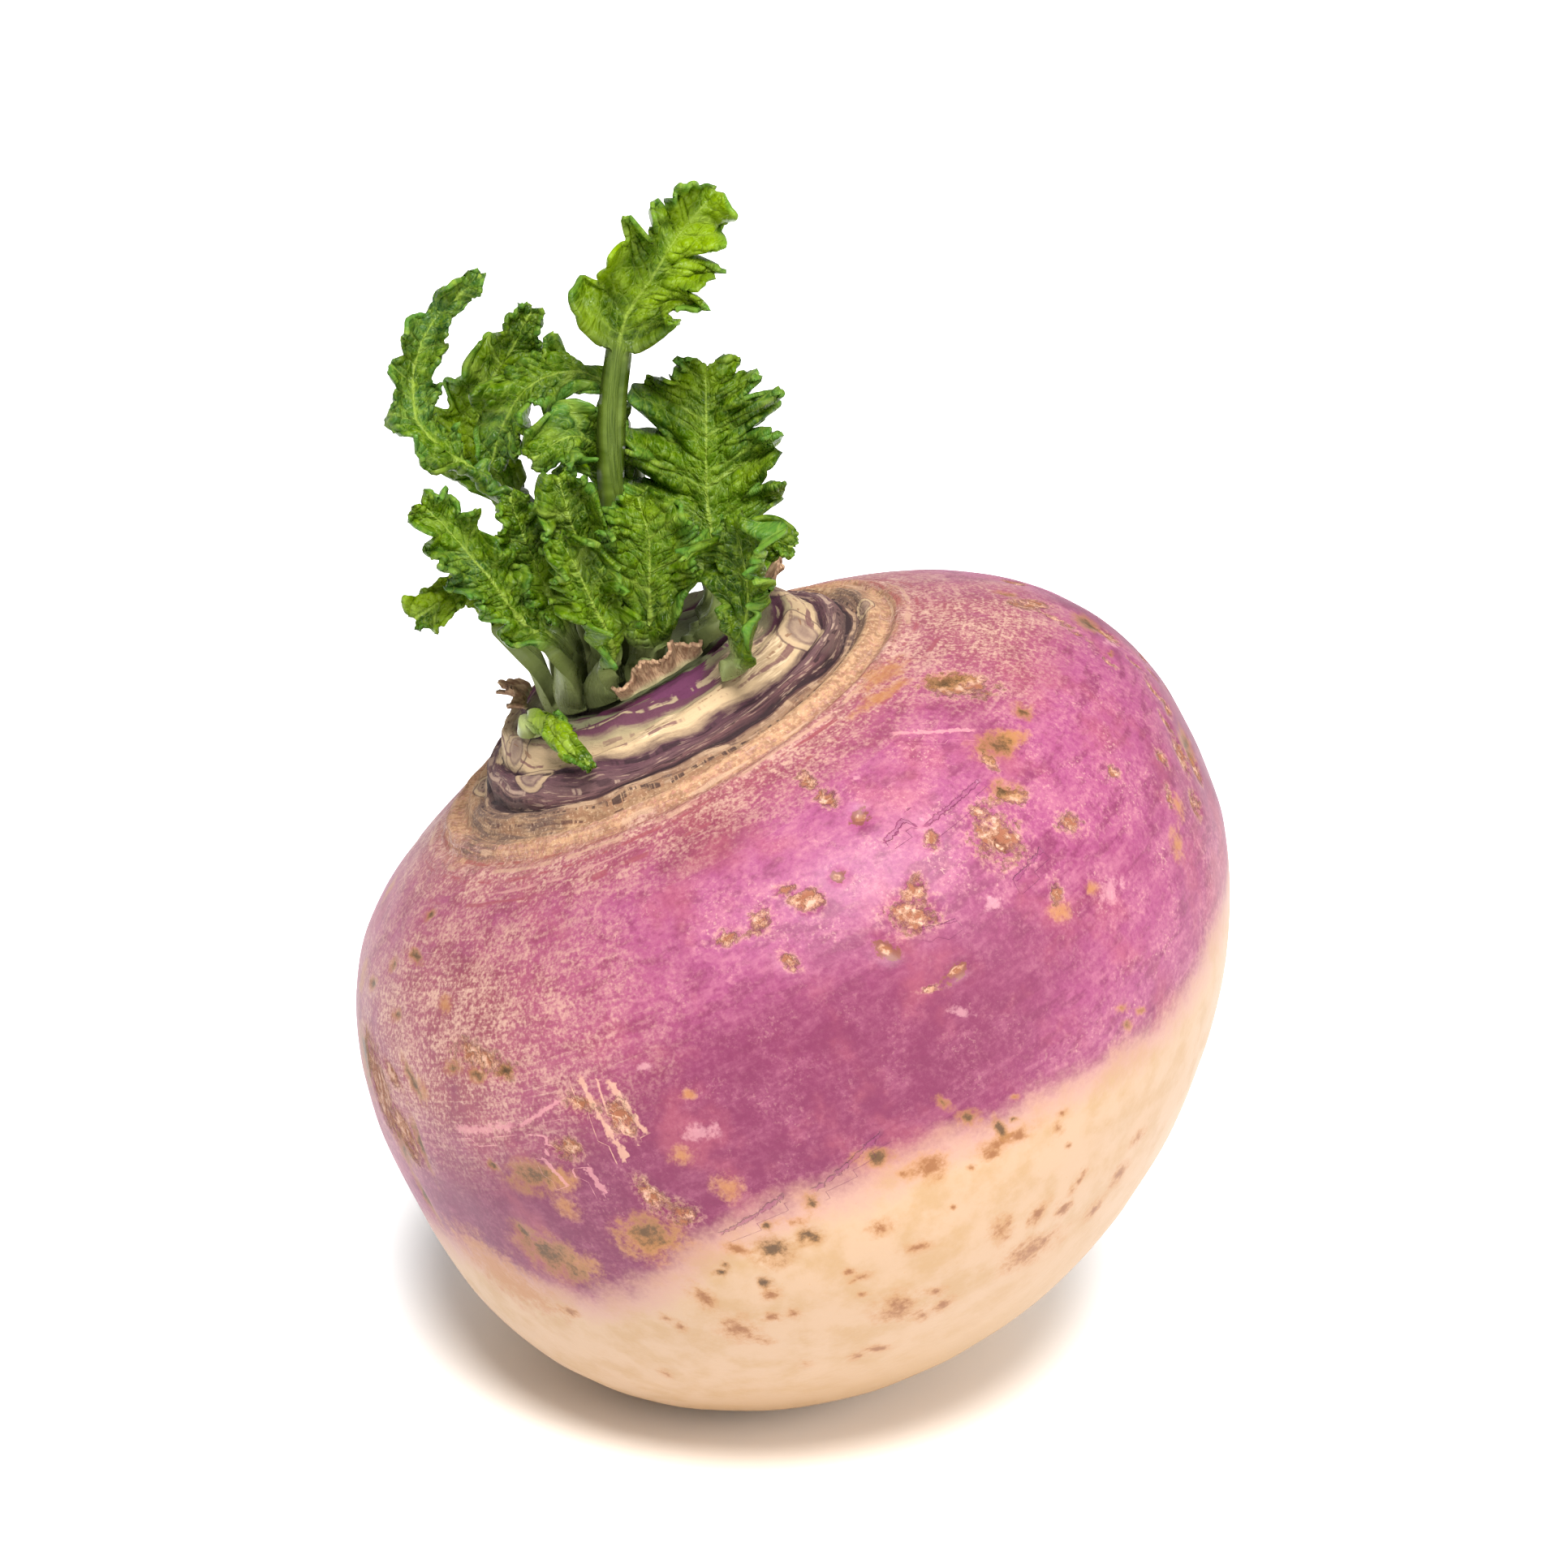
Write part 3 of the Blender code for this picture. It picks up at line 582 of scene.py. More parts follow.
def ring_relief(ring, x, y):
    """How far the crown's grooves and the cork's grain lift the skin there."""
    around = math.atan2(y, x)
    broken = 0.7 + 0.6 * noise.noise(Vector((math.cos(around) * 4, math.sin(around) * 4, ring * 0.6)))
    depth = sum(deep * math.exp(-(((ring - place) / half) ** 2)) for place, deep, half in GROOVES)
    grain = noise.noise(Vector((math.cos(around) * 9, math.sin(around) * 9, ring * 1.4)))
    return (CORK_GRAIN * grain * smooth_step(*CORK_GRAIN_REACH, ring) - depth * broken) * MM


def blend_around(pairs, degrees):
    """The value at a turn, eased between (turn, value) pairs that go all the way round."""
    turns = [turn for turn, _ in pairs] + [pairs[0][0] + 360]
    values = [value for _, value in pairs] + [pairs[0][1]]
    for index in range(len(pairs)):
        if turns[index] <= degrees <= turns[index + 1]:
            return mix(values[index], values[index + 1], smooth_step(turns[index], turns[index + 1], degrees))
    return values[0]


MARK_GROWTH = {"spot": 1.2, "dark": 1.15, "scab": 1.12, "rust": 1.2}  # how much larger marks are drawn


class Skin:
    """The root's points in the root frame, and the marks laid on them."""

    def __init__(self, points):
        self.points = np.array(points)
        self.turn = np.degrees(np.arctan2(self.points[:, 1], self.points[:, 0])) % 360
        self.out = self.points / np.linalg.norm(self.points, axis=1)[:, None]

    def place(self, turn, height):
        """The skin's point at a turn and a height, with its level and upward directions."""
        off = np.abs((self.turn - turn + 180) % 360 - 180) * 0.6
        index = np.argmin(off + np.abs(self.points[:, 2] / MM - height))
        point, out = self.points[index], self.out[index]
        level = np.array((-math.sin(math.radians(turn)), math.cos(math.radians(turn)), 0))
        up = np.cross(out, level)
        return point, level, up / np.linalg.norm(up)

    def across(self, mark):
        """How far every point lies along and across a mark, in mm, and whether it is on the mark's side."""
        turn, height, _, _, tilt = mark
        point, level, up = self.place(turn, height)
        tilt = math.radians(tilt)
        along = level * math.cos(tilt) + up * math.sin(tilt)
        side = up * math.cos(tilt) - level * math.sin(tilt)
        off = (self.points - point) / MM
        return off @ along, off @ side, np.linalg.norm(off, axis=1) < 25

    def patch(self, marks, reach=2.4):
        """For each point, 1 in the middle of a mark, about 0.6 at its edge and 0 well outside it."""
        field = np.zeros(len(self.points))
        for mark in marks:
            along, side, near = self.across(mark)
            off = np.sqrt((along / mark[2]) ** 2 + (side / mark[3]) ** 2)
            field = np.maximum(field, np.where(near, 1 - off / reach, 0))
        return field

    def lines(self, marks):
        """For each point, its distance across the nearest line in mm, that line's half width, and a fade."""
        found = np.zeros((len(self.points), 3))
        found[:, 0] = 5
        for mark in marks:
            along, side, near = self.across(mark)
            bend = side - 0.04 * along**2 / mark[2]
            fade = np.clip(1.3 * (1 - (np.abs(along) / mark[2]) ** 3), 0, 1)
            mine = near & (np.abs(along) < mark[2] * 1.1) & (np.abs(bend) < 1.5)
            found[mine, 0] = bend[mine]
            found[mine, 1] = mark[3]
            found[mine, 2] = fade[mine]
        return found

    def loops(self, patches):
        """Patches of the crown that bend round it: 0 outside, rising from the outline to 1 in the middle."""
        field = np.zeros(len(self.points))
        top = self.points[:, 2] > 0
        for turn, radius, half_length, half_height in patches:
            way = np.array((math.cos(math.radians(turn)), math.sin(math.radians(turn))))
            out = self.points[:, :2] @ way / MM - radius
            along = self.points[:, :2] @ np.array((-way[1], way[0])) / MM
            out = out + 0.06 * along**2
            off = np.sqrt((along / half_length) ** 2 + (out / half_height) ** 2)
            field = np.maximum(field, np.where(top, 1 - off, 0))
        return field

    def zones(self, patches):
        """Broad patches of the skin: 1 in the middle of each and 0 well away from them."""
        field = np.zeros(len(self.points))
        for turn, height, half_turn, half_height in patches:
            off = np.abs((self.turn - turn + 180) % 360 - 180) / half_turn
            up = np.abs(self.points[:, 2] / MM - height) / half_height
            field = np.maximum(field, np.clip(1.4 - np.sqrt(off**2 + up**2), 0, 1))
        return field


def grown(kind, marks):
    """The marks of a kind at the size they are drawn."""
    share = MARK_GROWTH.get(kind, 1.0)
    return [
        (turn, height, length * share, width * share, tilt) for turn, height, length, width, tilt in marks
    ]


def scattered(draw, count, turns, heights, size):
    """Marks strewn where the listed ones leave off."""
    marks = []
    for _ in range(count):
        length = size * draw.uniform(0.5, 1.8)
        marks.append(
            (draw.uniform(*turns) % 360, draw.uniform(*heights), length, length * draw.uniform(0.4, 0.9),
             draw.uniform(-80, 80))
        )
    return marks


def skin_marks(skin):
    """Every kind of mark as a field over the skin, with more strewn where none is listed."""
    draw = random.Random(SEED)
    back = (-5, 195)
    wide = {kind: grown(kind, marks) for kind, marks in MARKS.items() if not kind.endswith("_line")}
    wide["scab"] += scattered(draw, 34, back, (-3, 28), 1.2)
    wide["rust"] += scattered(draw, 16, back, (-6, 27), 1.1)
    wide["dark"] += scattered(draw, 18, back, (-16, 26), 0.8)
    wide["pale"] += scattered(draw, 12, back, (0, 27), 1.3)
    wide["spot"] += scattered(draw, 46, back, (-30, -7), 0.9)
    fields = {kind: skin.patch(marks) for kind, marks in wide.items()}
    fields["scar"] = skin.loops(LEAF_SCARS)
    fields["stain"] = skin.loops(CROWN_STAINS)
    fields["bleach"] = skin.loops(CROWN_BLEACHES)
    fields["dusk"] = skin.loops(CROWN_DUSKS)
    return fields


def build_root(look):
    rows = [
        math.radians(mix(start, stop, step / count))
        for start, stop, count in ROOT_ROWS
        for step in range(count)
    ] + [math.pi]
    mesh = bmesh.new()
    bmesh.ops.create_uvsphere(mesh, u_segments=look.columns, v_segments=len(rows) - 1, radius=1)
    points = []
    for vertex in mesh.verts:
        even = math.acos(max(-1.0, min(1.0, vertex.co.z)))
        row = round(even / math.pi * (len(rows) - 1))
        points.append(root_point(rows[row], math.atan2(vertex.co.y, vertex.co.x)))
    skin = Skin(points)
    fields = skin_marks(skin)
    upper = [point.z > 0 and math.hypot(point.x, point.y) < 34 * MM for point in points]
    rings = [ring_distance(point.x, point.y) if top else 60.0 for point, top in zip(points, upper)]
    fields["ring"] = np.array(rings)
    fields["below"] = np.array(
        [blend_around(PURPLE_EDGE, turn) - point.z / MM for turn, point in zip(skin.turn, points)]
    )
    fields["russet"] = skin.zones(RUSSET)
    fields["deeper"] = skin.zones(DEEPER_AND_SHADED)
    fields["fairer"] = skin.zones(FAIRER_AND_LIT)
    lines = {kind: skin.lines(marks) for kind, marks in MARKS.items() if kind.endswith("_line")}
    layers = {name: mesh.verts.layers.float.new(name) for name in fields}
    line_layers = {name: mesh.verts.layers.float_vector.new(name) for name in lines}
    depth = look.mark_depth
    sunk = {kind: np.clip((fields[kind] - 0.45) / 0.4, 0, 1) for kind in ("pit", "scab", "dark")}
    lift = -depth * (sunk["pit"] + 0.3 * sunk["scab"] + 0.25 * sunk["dark"])
    for index, (vertex, point) in enumerate(zip(mesh.verts, points)):
        relief = ring_relief(rings[index], point.x, point.y) if upper[index] else 0.0
        relief *= 1 - 0.7 * fields["scar"][index]
        grain = FINE_LUMP * noise.noise(point / FINE_LUMP_SIZE)
        vertex.co = point + point.normalized() * (relief + grain + lift[index])
        for name, layer in layers.items():
            vertex[layer] = fields[name][index]
        for name, layer in line_layers.items():
            vertex[layer] = lines[name][index]
    bmesh.ops.transform(mesh, matrix=root_to_world(), verts=mesh.verts)
    cut = bmesh.ops.bisect_plane(
        mesh,
        geom=mesh.verts[:] + mesh.edges[:] + mesh.faces[:],
        dist=0.001 * MM,
        plane_co=(0, 0, 0),
        plane_no=(0, 0, -1),
        clear_outer=True,
    )
    rim = [item for item in cut["geom_cut"] if isinstance(item, bmesh.types.BMEdge)]
    bmesh.ops.contextual_create(mesh, geom=rim)
    return new_object("root_skin", mesh, root_finish(look))


CAMERA_AIM = (3.58 * MM, 6.69 * MM, 59.8 * MM)

# The crown's colours outwards: (distance from the axis in mm, colour).
# The greys nearest the axis darken towards the middle: partly the neck's own colour, partly painted shade
# under the leaves.
CROWN_COLOURS = (
    (0, (0.10, 0.12, 0.045)), (8.6, (0.15, 0.16, 0.07)), (9.2, (0.07, 0.02, 0.04)),
    (9.7, (0.20, 0.21, 0.10)), (10.6, (0.24, 0.24, 0.12)), (11.0, (0.10, 0.015, 0.05)),
    (11.4, (0.10, 0.02, 0.05)), (11.8, (0.27, 0.26, 0.14)), (12.9, (0.20, 0.17, 0.09)),
    (13.3, (0.08, 0.02, 0.04)), (14.2, (0.10, 0.03, 0.05)), (14.7, (0.30, 0.24, 0.13)),
    (15.3, (0.42, 0.30, 0.17)), (16.6, (0.52, 0.37, 0.21)), (17.1, (0.06, 0.02, 0.03)),
    (17.6, (0.09, 0.035, 0.045)), (18.4, (0.14, 0.07, 0.07)), (19.1, (0.12, 0.05, 0.05)),
    (19.5, (0.035, 0.012, 0.014)), (19.9, (0.06, 0.02, 0.02)), (20.3, (0.24, 0.14, 0.085)),
    (21.0, (0.36, 0.22, 0.12)), (22.0, (0.45, 0.275, 0.15)), (24.5, (0.47, 0.265, 0.145)),
    (26.0, (0.40, 0.19, 0.13)), (27.0, (0.38, 0.14, 0.13)),
)
# The colour of each kind of fine line, with None for the creases, which only darken the skin, as painted
# shade in them.
LINE_COLOURS = {"scab_line": (0.64, 0.38, 0.25), "pale_line": (0.60, 0.27, 0.28), "crease_line": None}

# An old leaf scar's colours: (how far in from its outline, from 0 to 1 in the middle, colour).
SCAR_COLOURS = (
    (0.0, (0.05, 0.02, 0.03)), (0.1, (0.06, 0.025, 0.03)), (0.16, (0.46, 0.32, 0.19)),
    (0.34, (0.50, 0.36, 0.21)), (0.48, (0.16, 0.09, 0.08)), (0.62, (0.34, 0.23, 0.16)),
    (0.9, (0.20, 0.12, 0.10)),
)
CROWN_REACH = 30  # the distance from the axis, in mm, where the crown's ramp ends

# Thin lines round the crown: (distance from the axis in mm, half width in mm, how finely they break, how much
# of them shows, colour).
RING_LINES = (
    (12.3, 0.14, 9, 0.5, (0.10, 0.02, 0.06)), (13.6, 0.16, 6, 0.6, (0.34, 0.26, 0.15)),
    (14.3, 0.15, 6, 0.65, (0.10, 0.03, 0.05)), (15.0, 0.14, 7, 0.6, (0.22, 0.13, 0.09)),
    (15.6, 0.12, 12, 0.45, (0.22, 0.11, 0.06)), (16.2, 0.16, 6, 0.65, (0.15, 0.06, 0.06)),
    (17.3, 0.2, 7, 0.7, (0.025, 0.008, 0.012)), (18.5, 0.24, 8, 0.55, (0.40, 0.27, 0.20)),
    (19.0, 0.12, 9, 0.6, (0.03, 0.01, 0.012)), (19.7, 0.22, 6, 0.85, (0.018, 0.006, 0.008)),
    (20.2, 0.2, 5, 0.6, (0.40, 0.26, 0.16)), (20.7, 0.16, 34, 0.55, (0.035, 0.014, 0.014)),
    (21.5, 0.12, 26, 0.45, (0.10, 0.04, 0.03)), (22.6, 0.16, 18, 0.35, (0.30, 0.14, 0.08)),
    (24.3, 0.2, 4, 0.5, (0.50, 0.31, 0.20)), (25.2, 0.25, 8, 0.55, (0.30, 0.08, 0.07)),
    (26.3, 0.3, 4, 0.6, (0.46, 0.26, 0.18)), (27.2, 0.25, 8, 0.55, (0.28, 0.06, 0.075)),
    (28.3, 0.2, 4, 0.5, (0.44, 0.21, 0.19)), (29.6, 0.3, 6, 0.5, (0.26, 0.055, 0.075)),
)

# The colours of the skin's marks and grain.
SKIN = {
    "ruddy": (0.33, 0.075, 0.100),  # the ruddier patches of the purple
    "grain": (0.46, 0.185, 0.220),  # the fine pale grain of the purple
    "dust": (0.56, 0.32, 0.27),  # the clusters of pale specks in it
    "thin_line": (0.58, 0.38, 0.30),  # the thinnest lines of the russet shoulder
    "fleck": (0.45, 0.24, 0.08),  # the brown flecks of the cream
    "stain": (0.095, 0.018, 0.055),  # the purple stains of the crown
    "bleach_dark": (0.40, 0.28, 0.16),  # the bleached patches of the crown
    "bleach_pale": (0.62, 0.46, 0.28),  # and their palest threads
    "band_dark": (0.04, 0.015, 0.02),  # the dark threads of the crown
    "band_pale": (0.40, 0.27, 0.19),  # the pale threads between them
    "cork_dusk": (0.25, 0.115, 0.060),  # the brown grain of the cork
    "cork_crust": (0.22, 0.11, 0.060),  # the crusts of the cork
    "cork_rose": (0.42, 0.16, 0.13),  # where the skin shows through the cork
    "dusk": (0.105, 0.060, 0.050),  # the dusky patches of the crown
    "cork_fleck": (0.66, 0.46, 0.30),  # the palest flecks of the cork
    "halo": (0.50, 0.27, 0.20),  # the dusty skin round a scab
    "scrape": (0.60, 0.32, 0.33),  # the pale scrapes
    "scab_dark": (0.25, 0.085, 0.035),  # the scabs: their hollows,
    "scab": (0.47, 0.25, 0.155),  # their crust
    "scab_pale": (0.56, 0.35, 0.25),  # and its peaks
    "rust": (0.36, 0.15, 0.045),  # the rusty patches
    "scab_rim": (0.30, 0.11, 0.075),  # the rim of a scab
    # Painted shade: the pit's rim is drawn dark, as the shade on its wall.
    "pit_rim_shade": (0.18, 0.055, 0.03),  # the rim of a pit
    "spot_edge": (0.40, 0.180, 0.058),  # the brown spots: their edges
    "spot": (0.22, 0.075, 0.018),  # and their middles
    "dark_edge": (0.34, 0.150, 0.040),  # the dark spots: their edges
    "dark": (0.070, 0.032, 0.009),  # and their middles
    # Painted shade in the creases.
    "crease_shade": (0.20, 0.03, 0.10),  # the creases
}


def root_finish(look):
    finish = Finish("turnip_skin")
    here = finish.node("TexCoord").outputs["Object"]
    turned = tuple(root_to_world().to_euler())
    own = finish.node("Mapping", here, tuple(ROOT_CENTRE), turned, vector_type="TEXTURE").outputs[0]
    x, y, z = finish.node("SeparateXYZ", own).outputs
    radius = finish.node("VectorMath", finish.vector(x, y, 0.0), operation="LENGTH").outputs["Value"]
    round_x = finish.math("DIVIDE", x, radius)
    round_y = finish.math("DIVIDE", y, radius)
    ring = finish.attribute("ring")

    def along_rings(turn_scale, height):
        """Coordinates that a noise stretches along the level rings."""
        level_x = finish.times(round_x, turn_scale)
        level_y = finish.times(round_y, turn_scale)
        return finish.vector(level_x, level_y, height)

    streak = finish.noise(along_rings(3.5, finish.times(ring, 2.2)), 1.0, 4, 0.6)
    thread = finish.noise(along_rings(6.0, finish.times(ring, 5.5)), 1.0, 3, 0.6)
    level_streak = finish.noise(along_rings(5.0, finish.times(z, 2600.0)), 1.0, 5, 0.7)
    crumb = finish.noise(own, 1900.0, 4, 0.7)
    broad = finish.noise(own, 55.0, 2)
    patchy = finish.noise(own, 260.0, 4, 0.6)
    grain = finish.noise(own, 1500.0, 3, 0.6)
    speck = finish.noise(own, 3200.0, 2, 0.5)
    scaly = finish.noise(own, 1100.0, 3, 0.6)

    # The purple of the upper half.
    # Lighter up towards the shoulders: partly the skin's own pinker colour, partly painted light on the faces
    # that turn up to the lamps.
    lighter = finish.step(finish.math("MULTIPLY_ADD", patchy, 0.03, z), 0.012, 0.042)
    purple = finish.colour(lighter, look.purple[:], look.purple_light[:])
    # Painted light and shade, besides the skin's own blotches: the purple is drawn fairer and deeper in
    # zones.
    fair = finish.swayed(finish.attribute("fairer"), patchy, 0.9)
    purple = finish.tinted(purple, look.purple_light[:], finish.step(fair, 0.0, 0.9), 0.8)
    deep = finish.swayed(finish.attribute("deeper"), patchy, 0.9)
    deep = finish.math("MAXIMUM", finish.step(deep, 0.0, 0.8), finish.step(broad, 0.56, 0.72))
    purple = finish.tinted(purple, look.purple_deep[:], deep, 0.85)
    quiet = finish.step(deep, 0.0, 0.9, 1.0, 0.35)
    mottle = finish.times(finish.step(finish.times(patchy, grain), 0.22, 0.38), quiet)
    purple = finish.tinted(purple, look.pink[:], mottle, 0.4)
    crazed = finish.noise(own, 620.0, 6, 0.72)
    light_craze = finish.times(finish.step(crazed, 0.48, 0.68), quiet)
    purple = finish.tinted(purple, look.pink[:], light_craze, 0.4)
    purple = finish.tinted(purple, look.purple_deep[:], finish.step(crazed, 0.48, 0.30), 0.5)
    wrinkled = finish.noise(along_rings(9.0, finish.times(z, 750.0)), 1.0, 4, 0.6)
    purple = finish.tinted(purple, look.purple_deep[:], finish.step(wrinkled, 0.49, 0.36), 0.55)
    furrow = finish.times(finish.step(wrinkled, 0.53, 0.68), quiet)
    purple = finish.tinted(purple, look.pink[:], furrow, 0.5)
    ruddy = finish.step(finish.noise(own, 95.0, 4, 0.6), 0.50, 0.66)
    purple = finish.tinted(purple, SKIN["ruddy"], ruddy, 0.45)
    grained = finish.times(finish.step(crumb, 0.46, 0.70), finish.step(patchy, 0.3, 0.65, 0.15, 0.6))
    grained = finish.times(grained, quiet)
    purple = finish.colour(grained, purple, SKIN["grain"])
    purple = finish.tinted(purple, look.purple_deep[:], finish.step(crumb, 0.47, 0.30), 0.4)
    clustered = finish.times(finish.step(patchy, 0.46, 0.66), finish.step(speck, 0.58, 0.68))
    clustered = finish.times(clustered, quiet)
    purple = finish.tinted(purple, SKIN["dust"], clustered, 0.5)
    shoulder = finish.math("MAXIMUM", finish.step(ring, 36.0, 26.5), finish.attribute("russet"))
    shoulder = finish.times(shoulder, finish.step(patchy, 0.2, 0.45, 0.5, 1.0))
    speckle = finish.swayed(crumb, level_streak, 0.6)
    speckle = finish.swayed(speckle, patchy, 0.5)
    speckle = finish.swayed(speckle, speck, 0.7)
    lined = finish.times(finish.step(speckle, 0.36, 0.78), shoulder)
    purple = finish.tinted(purple, look.russet[:], shoulder, 0.65)
    purple = finish.tinted(purple, look.tan[:], lined, 0.95)
    thin = finish.times(finish.step(level_streak, 0.60, 0.68), shoulder)
    purple = finish.tinted(purple, SKIN["thin_line"], thin, 0.35)

    # The cream of the lower half.
    cream = finish.colour(finish.step(patchy, 0.4, 0.7), look.cream[:], look.cream_warm_and_shaded[:])
    # Painted shade: the cream turns to the darker warm cream towards the root's tip, where less light falls.
    cream = finish.colour(finish.step(z, -0.02, -0.037), cream, look.cream_warm_and_shaded[:])
    cream = finish.tinted(cream, SKIN["fleck"], finish.step(speck, 0.66, 0.8), 0.4)
    feather = finish.swayed(finish.attribute("below"), patchy, 4.5)
    feather = finish.swayed(feather, crumb, 2.0)
    lower = finish.step(feather, -2.4, 1.8)
    blush = finish.times(finish.step(feather, 4.6, 0.8), 0.32)
    cream = finish.colour(blush, cream, look.pink[:])
    skin = finish.colour(lower, purple, cream)

    # The cork and the old leaf scars of the crown.
    wander = finish.swayed(ring, streak, 1.1)
    wander = finish.swayed(wander, patchy, 0.5)
    place = finish.math("DIVIDE", wander, float(CROWN_REACH))
    crown = finish.ramp(place, [(at / CROWN_REACH, colour) for at, colour in CROWN_COLOURS])
    stained = finish.swayed(finish.attribute("stain"), streak, 0.8)
    stained = finish.times(finish.step(stained, 0.2, 0.3), finish.step(finish.attribute("stain"), 0, 0.05))
    crown = finish.colour(stained, crown, SKIN["stain"])
    bleached = finish.swayed(finish.attribute("bleach"), streak, 1.2)
    bleached = finish.times(finish.step(bleached, 0.2, 0.4), finish.step(finish.attribute("bleach"), 0, 0.1))
    bleach = finish.colour(finish.step(thread, 0.42, 0.58), SKIN["bleach_dark"], SKIN["bleach_pale"])
    crown = finish.colour(bleached, crown, bleach)
    banded = finish.times(finish.step(ring, 16.8, 17.6), finish.step(ring, 21.5, 20.5))
    darker = finish.times(finish.step(thread, 0.52, 0.62), banded)
    crown = finish.tinted(crown, SKIN["band_dark"], darker, 0.7)
    paler = finish.times(finish.step(thread, 0.43, 0.36), banded)
    crown = finish.tinted(crown, SKIN["band_pale"], paler, 0.55)
    cork_grain = finish.math("MULTIPLY_ADD", streak, 0.5, finish.times(grain, 0.5))
    cork = finish.step(ring, 19.8, 21.0)
    dusky = finish.times(finish.step(cork_grain, 0.54, 0.42), cork)
    crown = finish.tinted(crown, SKIN["cork_dusk"], dusky, 0.75)
    crusty = finish.times(finish.step(scaly, 0.50, 0.38), cork)
    crown = finish.tinted(crown, SKIN["cork_crust"], crusty, 0.6)
    rosy = finish.times(finish.step(crumb, 0.52, 0.62), finish.step(ring, 21.5, 24.0))
    crown = finish.tinted(crown, SKIN["cork_rose"], rosy, 0.5)
    dusk = finish.swayed(finish.attribute("dusk"), streak, 1.0)
    dusk = finish.times(finish.step(dusk, 0.1, 0.5), finish.step(finish.attribute("dusk"), 0, 0.1))
    dusk = finish.times(dusk, finish.step(thread, 0.38, 0.58, 0.35, 1.0))
    crown = finish.tinted(crown, SKIN["dusk"], dusk, 0.85)
    flecked = finish.times(finish.step(speck, 0.55, 0.7), cork)
    crown = finish.tinted(crown, SKIN["cork_fleck"], flecked, 0.4)
    scar = finish.attribute("scar")
    ragged = finish.times(scar, finish.math("MULTIPLY_ADD", patchy, 1.6, 0.2))
    loop = finish.ramp(ragged, SCAR_COLOURS)
    crown = finish.tinted(crown, loop, finish.step(ragged, 0.03, 0.1), 0.8)
    cork_edge = finish.swayed(ring, level_streak, 9.0)
    cork_edge = finish.swayed(cork_edge, patchy, 4.0)
    cork_edge = finish.swayed(cork_edge, crumb, 4.0)
    corky = finish.step(cork_edge, 27.4, 23.2)
    skin = finish.colour(corky, skin, crown)
    for number, (at, half, breaks, whole, colour) in enumerate(RING_LINES):
        off = finish.math("ABSOLUTE", finish.math("SUBTRACT", wander, float(at)))
        broken = finish.noise(along_rings(float(breaks), 3.7 * number), 1.0, 3, 0.6)
        drawn = finish.step(broken, 0.68 - 0.36 * whole, 0.74 - 0.36 * whole)
        drawn = finish.times(drawn, finish.step(off, half, half * 0.4))
        skin = finish.tinted(skin, colour, drawn, 0.85)

    # Scabs, rust, spots, pale scrapes and fine lines.
    edge_noise = finish.times(finish.math("SUBTRACT", crumb, 0.5), 0.35)
    edge_noise = finish.swayed(edge_noise, crazed, 1.7)

    def marked(kind, low, high):
        """Where a kind of mark shows, with a ragged edge."""
        field = finish.attribute(kind)
        return finish.step(
            finish.math("MULTIPLY_ADD", edge_noise, finish.step(field, 0.0, 0.5), field), low, high
        )

    def over(kind, low, high, share, colour):
        return finish.colour(finish.times(marked(kind, low, high), share), skin, colour)

    dusty = finish.times(finish.step(crumb, 0.38, 0.62), 0.75)
    halo = finish.math("MAXIMUM", marked("scab", 0.22, 0.66), finish.times(marked("rust", 0.3, 0.8), 0.6))
    skin = finish.colour(finish.times(halo, dusty), skin, SKIN["halo"])
    skin = over("pale", 0.50, 0.85, 0.4, SKIN["scrape"])
    scab_colour = finish.colour(finish.step(scaly, 0.42, 0.54), SKIN["scab_dark"], SKIN["scab"])
    scab_colour = finish.colour(finish.step(scaly, 0.55, 0.63), scab_colour, SKIN["scab_pale"])
    skin = over("rust", 0.28, 0.95, 0.8, SKIN["rust"])
    skin = over("scab", 0.42, 0.70, 0.65, SKIN["scab_rim"])
    skin = over("scab", 0.56, 0.80, 0.85, scab_colour)
    # Painted shade round the pit's rim.
    skin = over("pit", 0.50, 0.62, 0.9, SKIN["pit_rim_shade"])
    skin = finish.colour(finish.step(finish.attribute("pit"), 0.68, 0.84), skin, scab_colour)
    skin = over("spot", 0.25, 0.95, 0.75, SKIN["spot_edge"])
    skin = over("spot", 0.60, 1.05, 0.85, SKIN["spot"])
    skin = over("dark", 0.22, 0.80, 0.75, SKIN["dark_edge"])
    skin = over("dark", 0.55, 1.00, 0.9, SKIN["dark"])
    creased = 0.0
    for kind, colour in LINE_COLOURS.items():
        across, half, fade = finish.node("SeparateXYZ", finish.attribute(kind, "Vector")).outputs
        spread = finish.math("DIVIDE", finish.math("ABSOLUTE", across), finish.math("MAXIMUM", half, 0.05))
        wavy = finish.swayed(spread, grain, 5.0)
        line = finish.times(finish.step(wavy, 1.3, 0.5), finish.step(fade, 0.1, 0.6))
        if colour:
            skin = finish.tinted(skin, colour, line, 0.6)
        else:
            creased = line
            # Painted shade: the creases are drawn darker.
            skin = finish.tinted(skin, SKIN["crease_shade"], line, 0.45)
    finish.set("Base Color", finish.toned(skin))

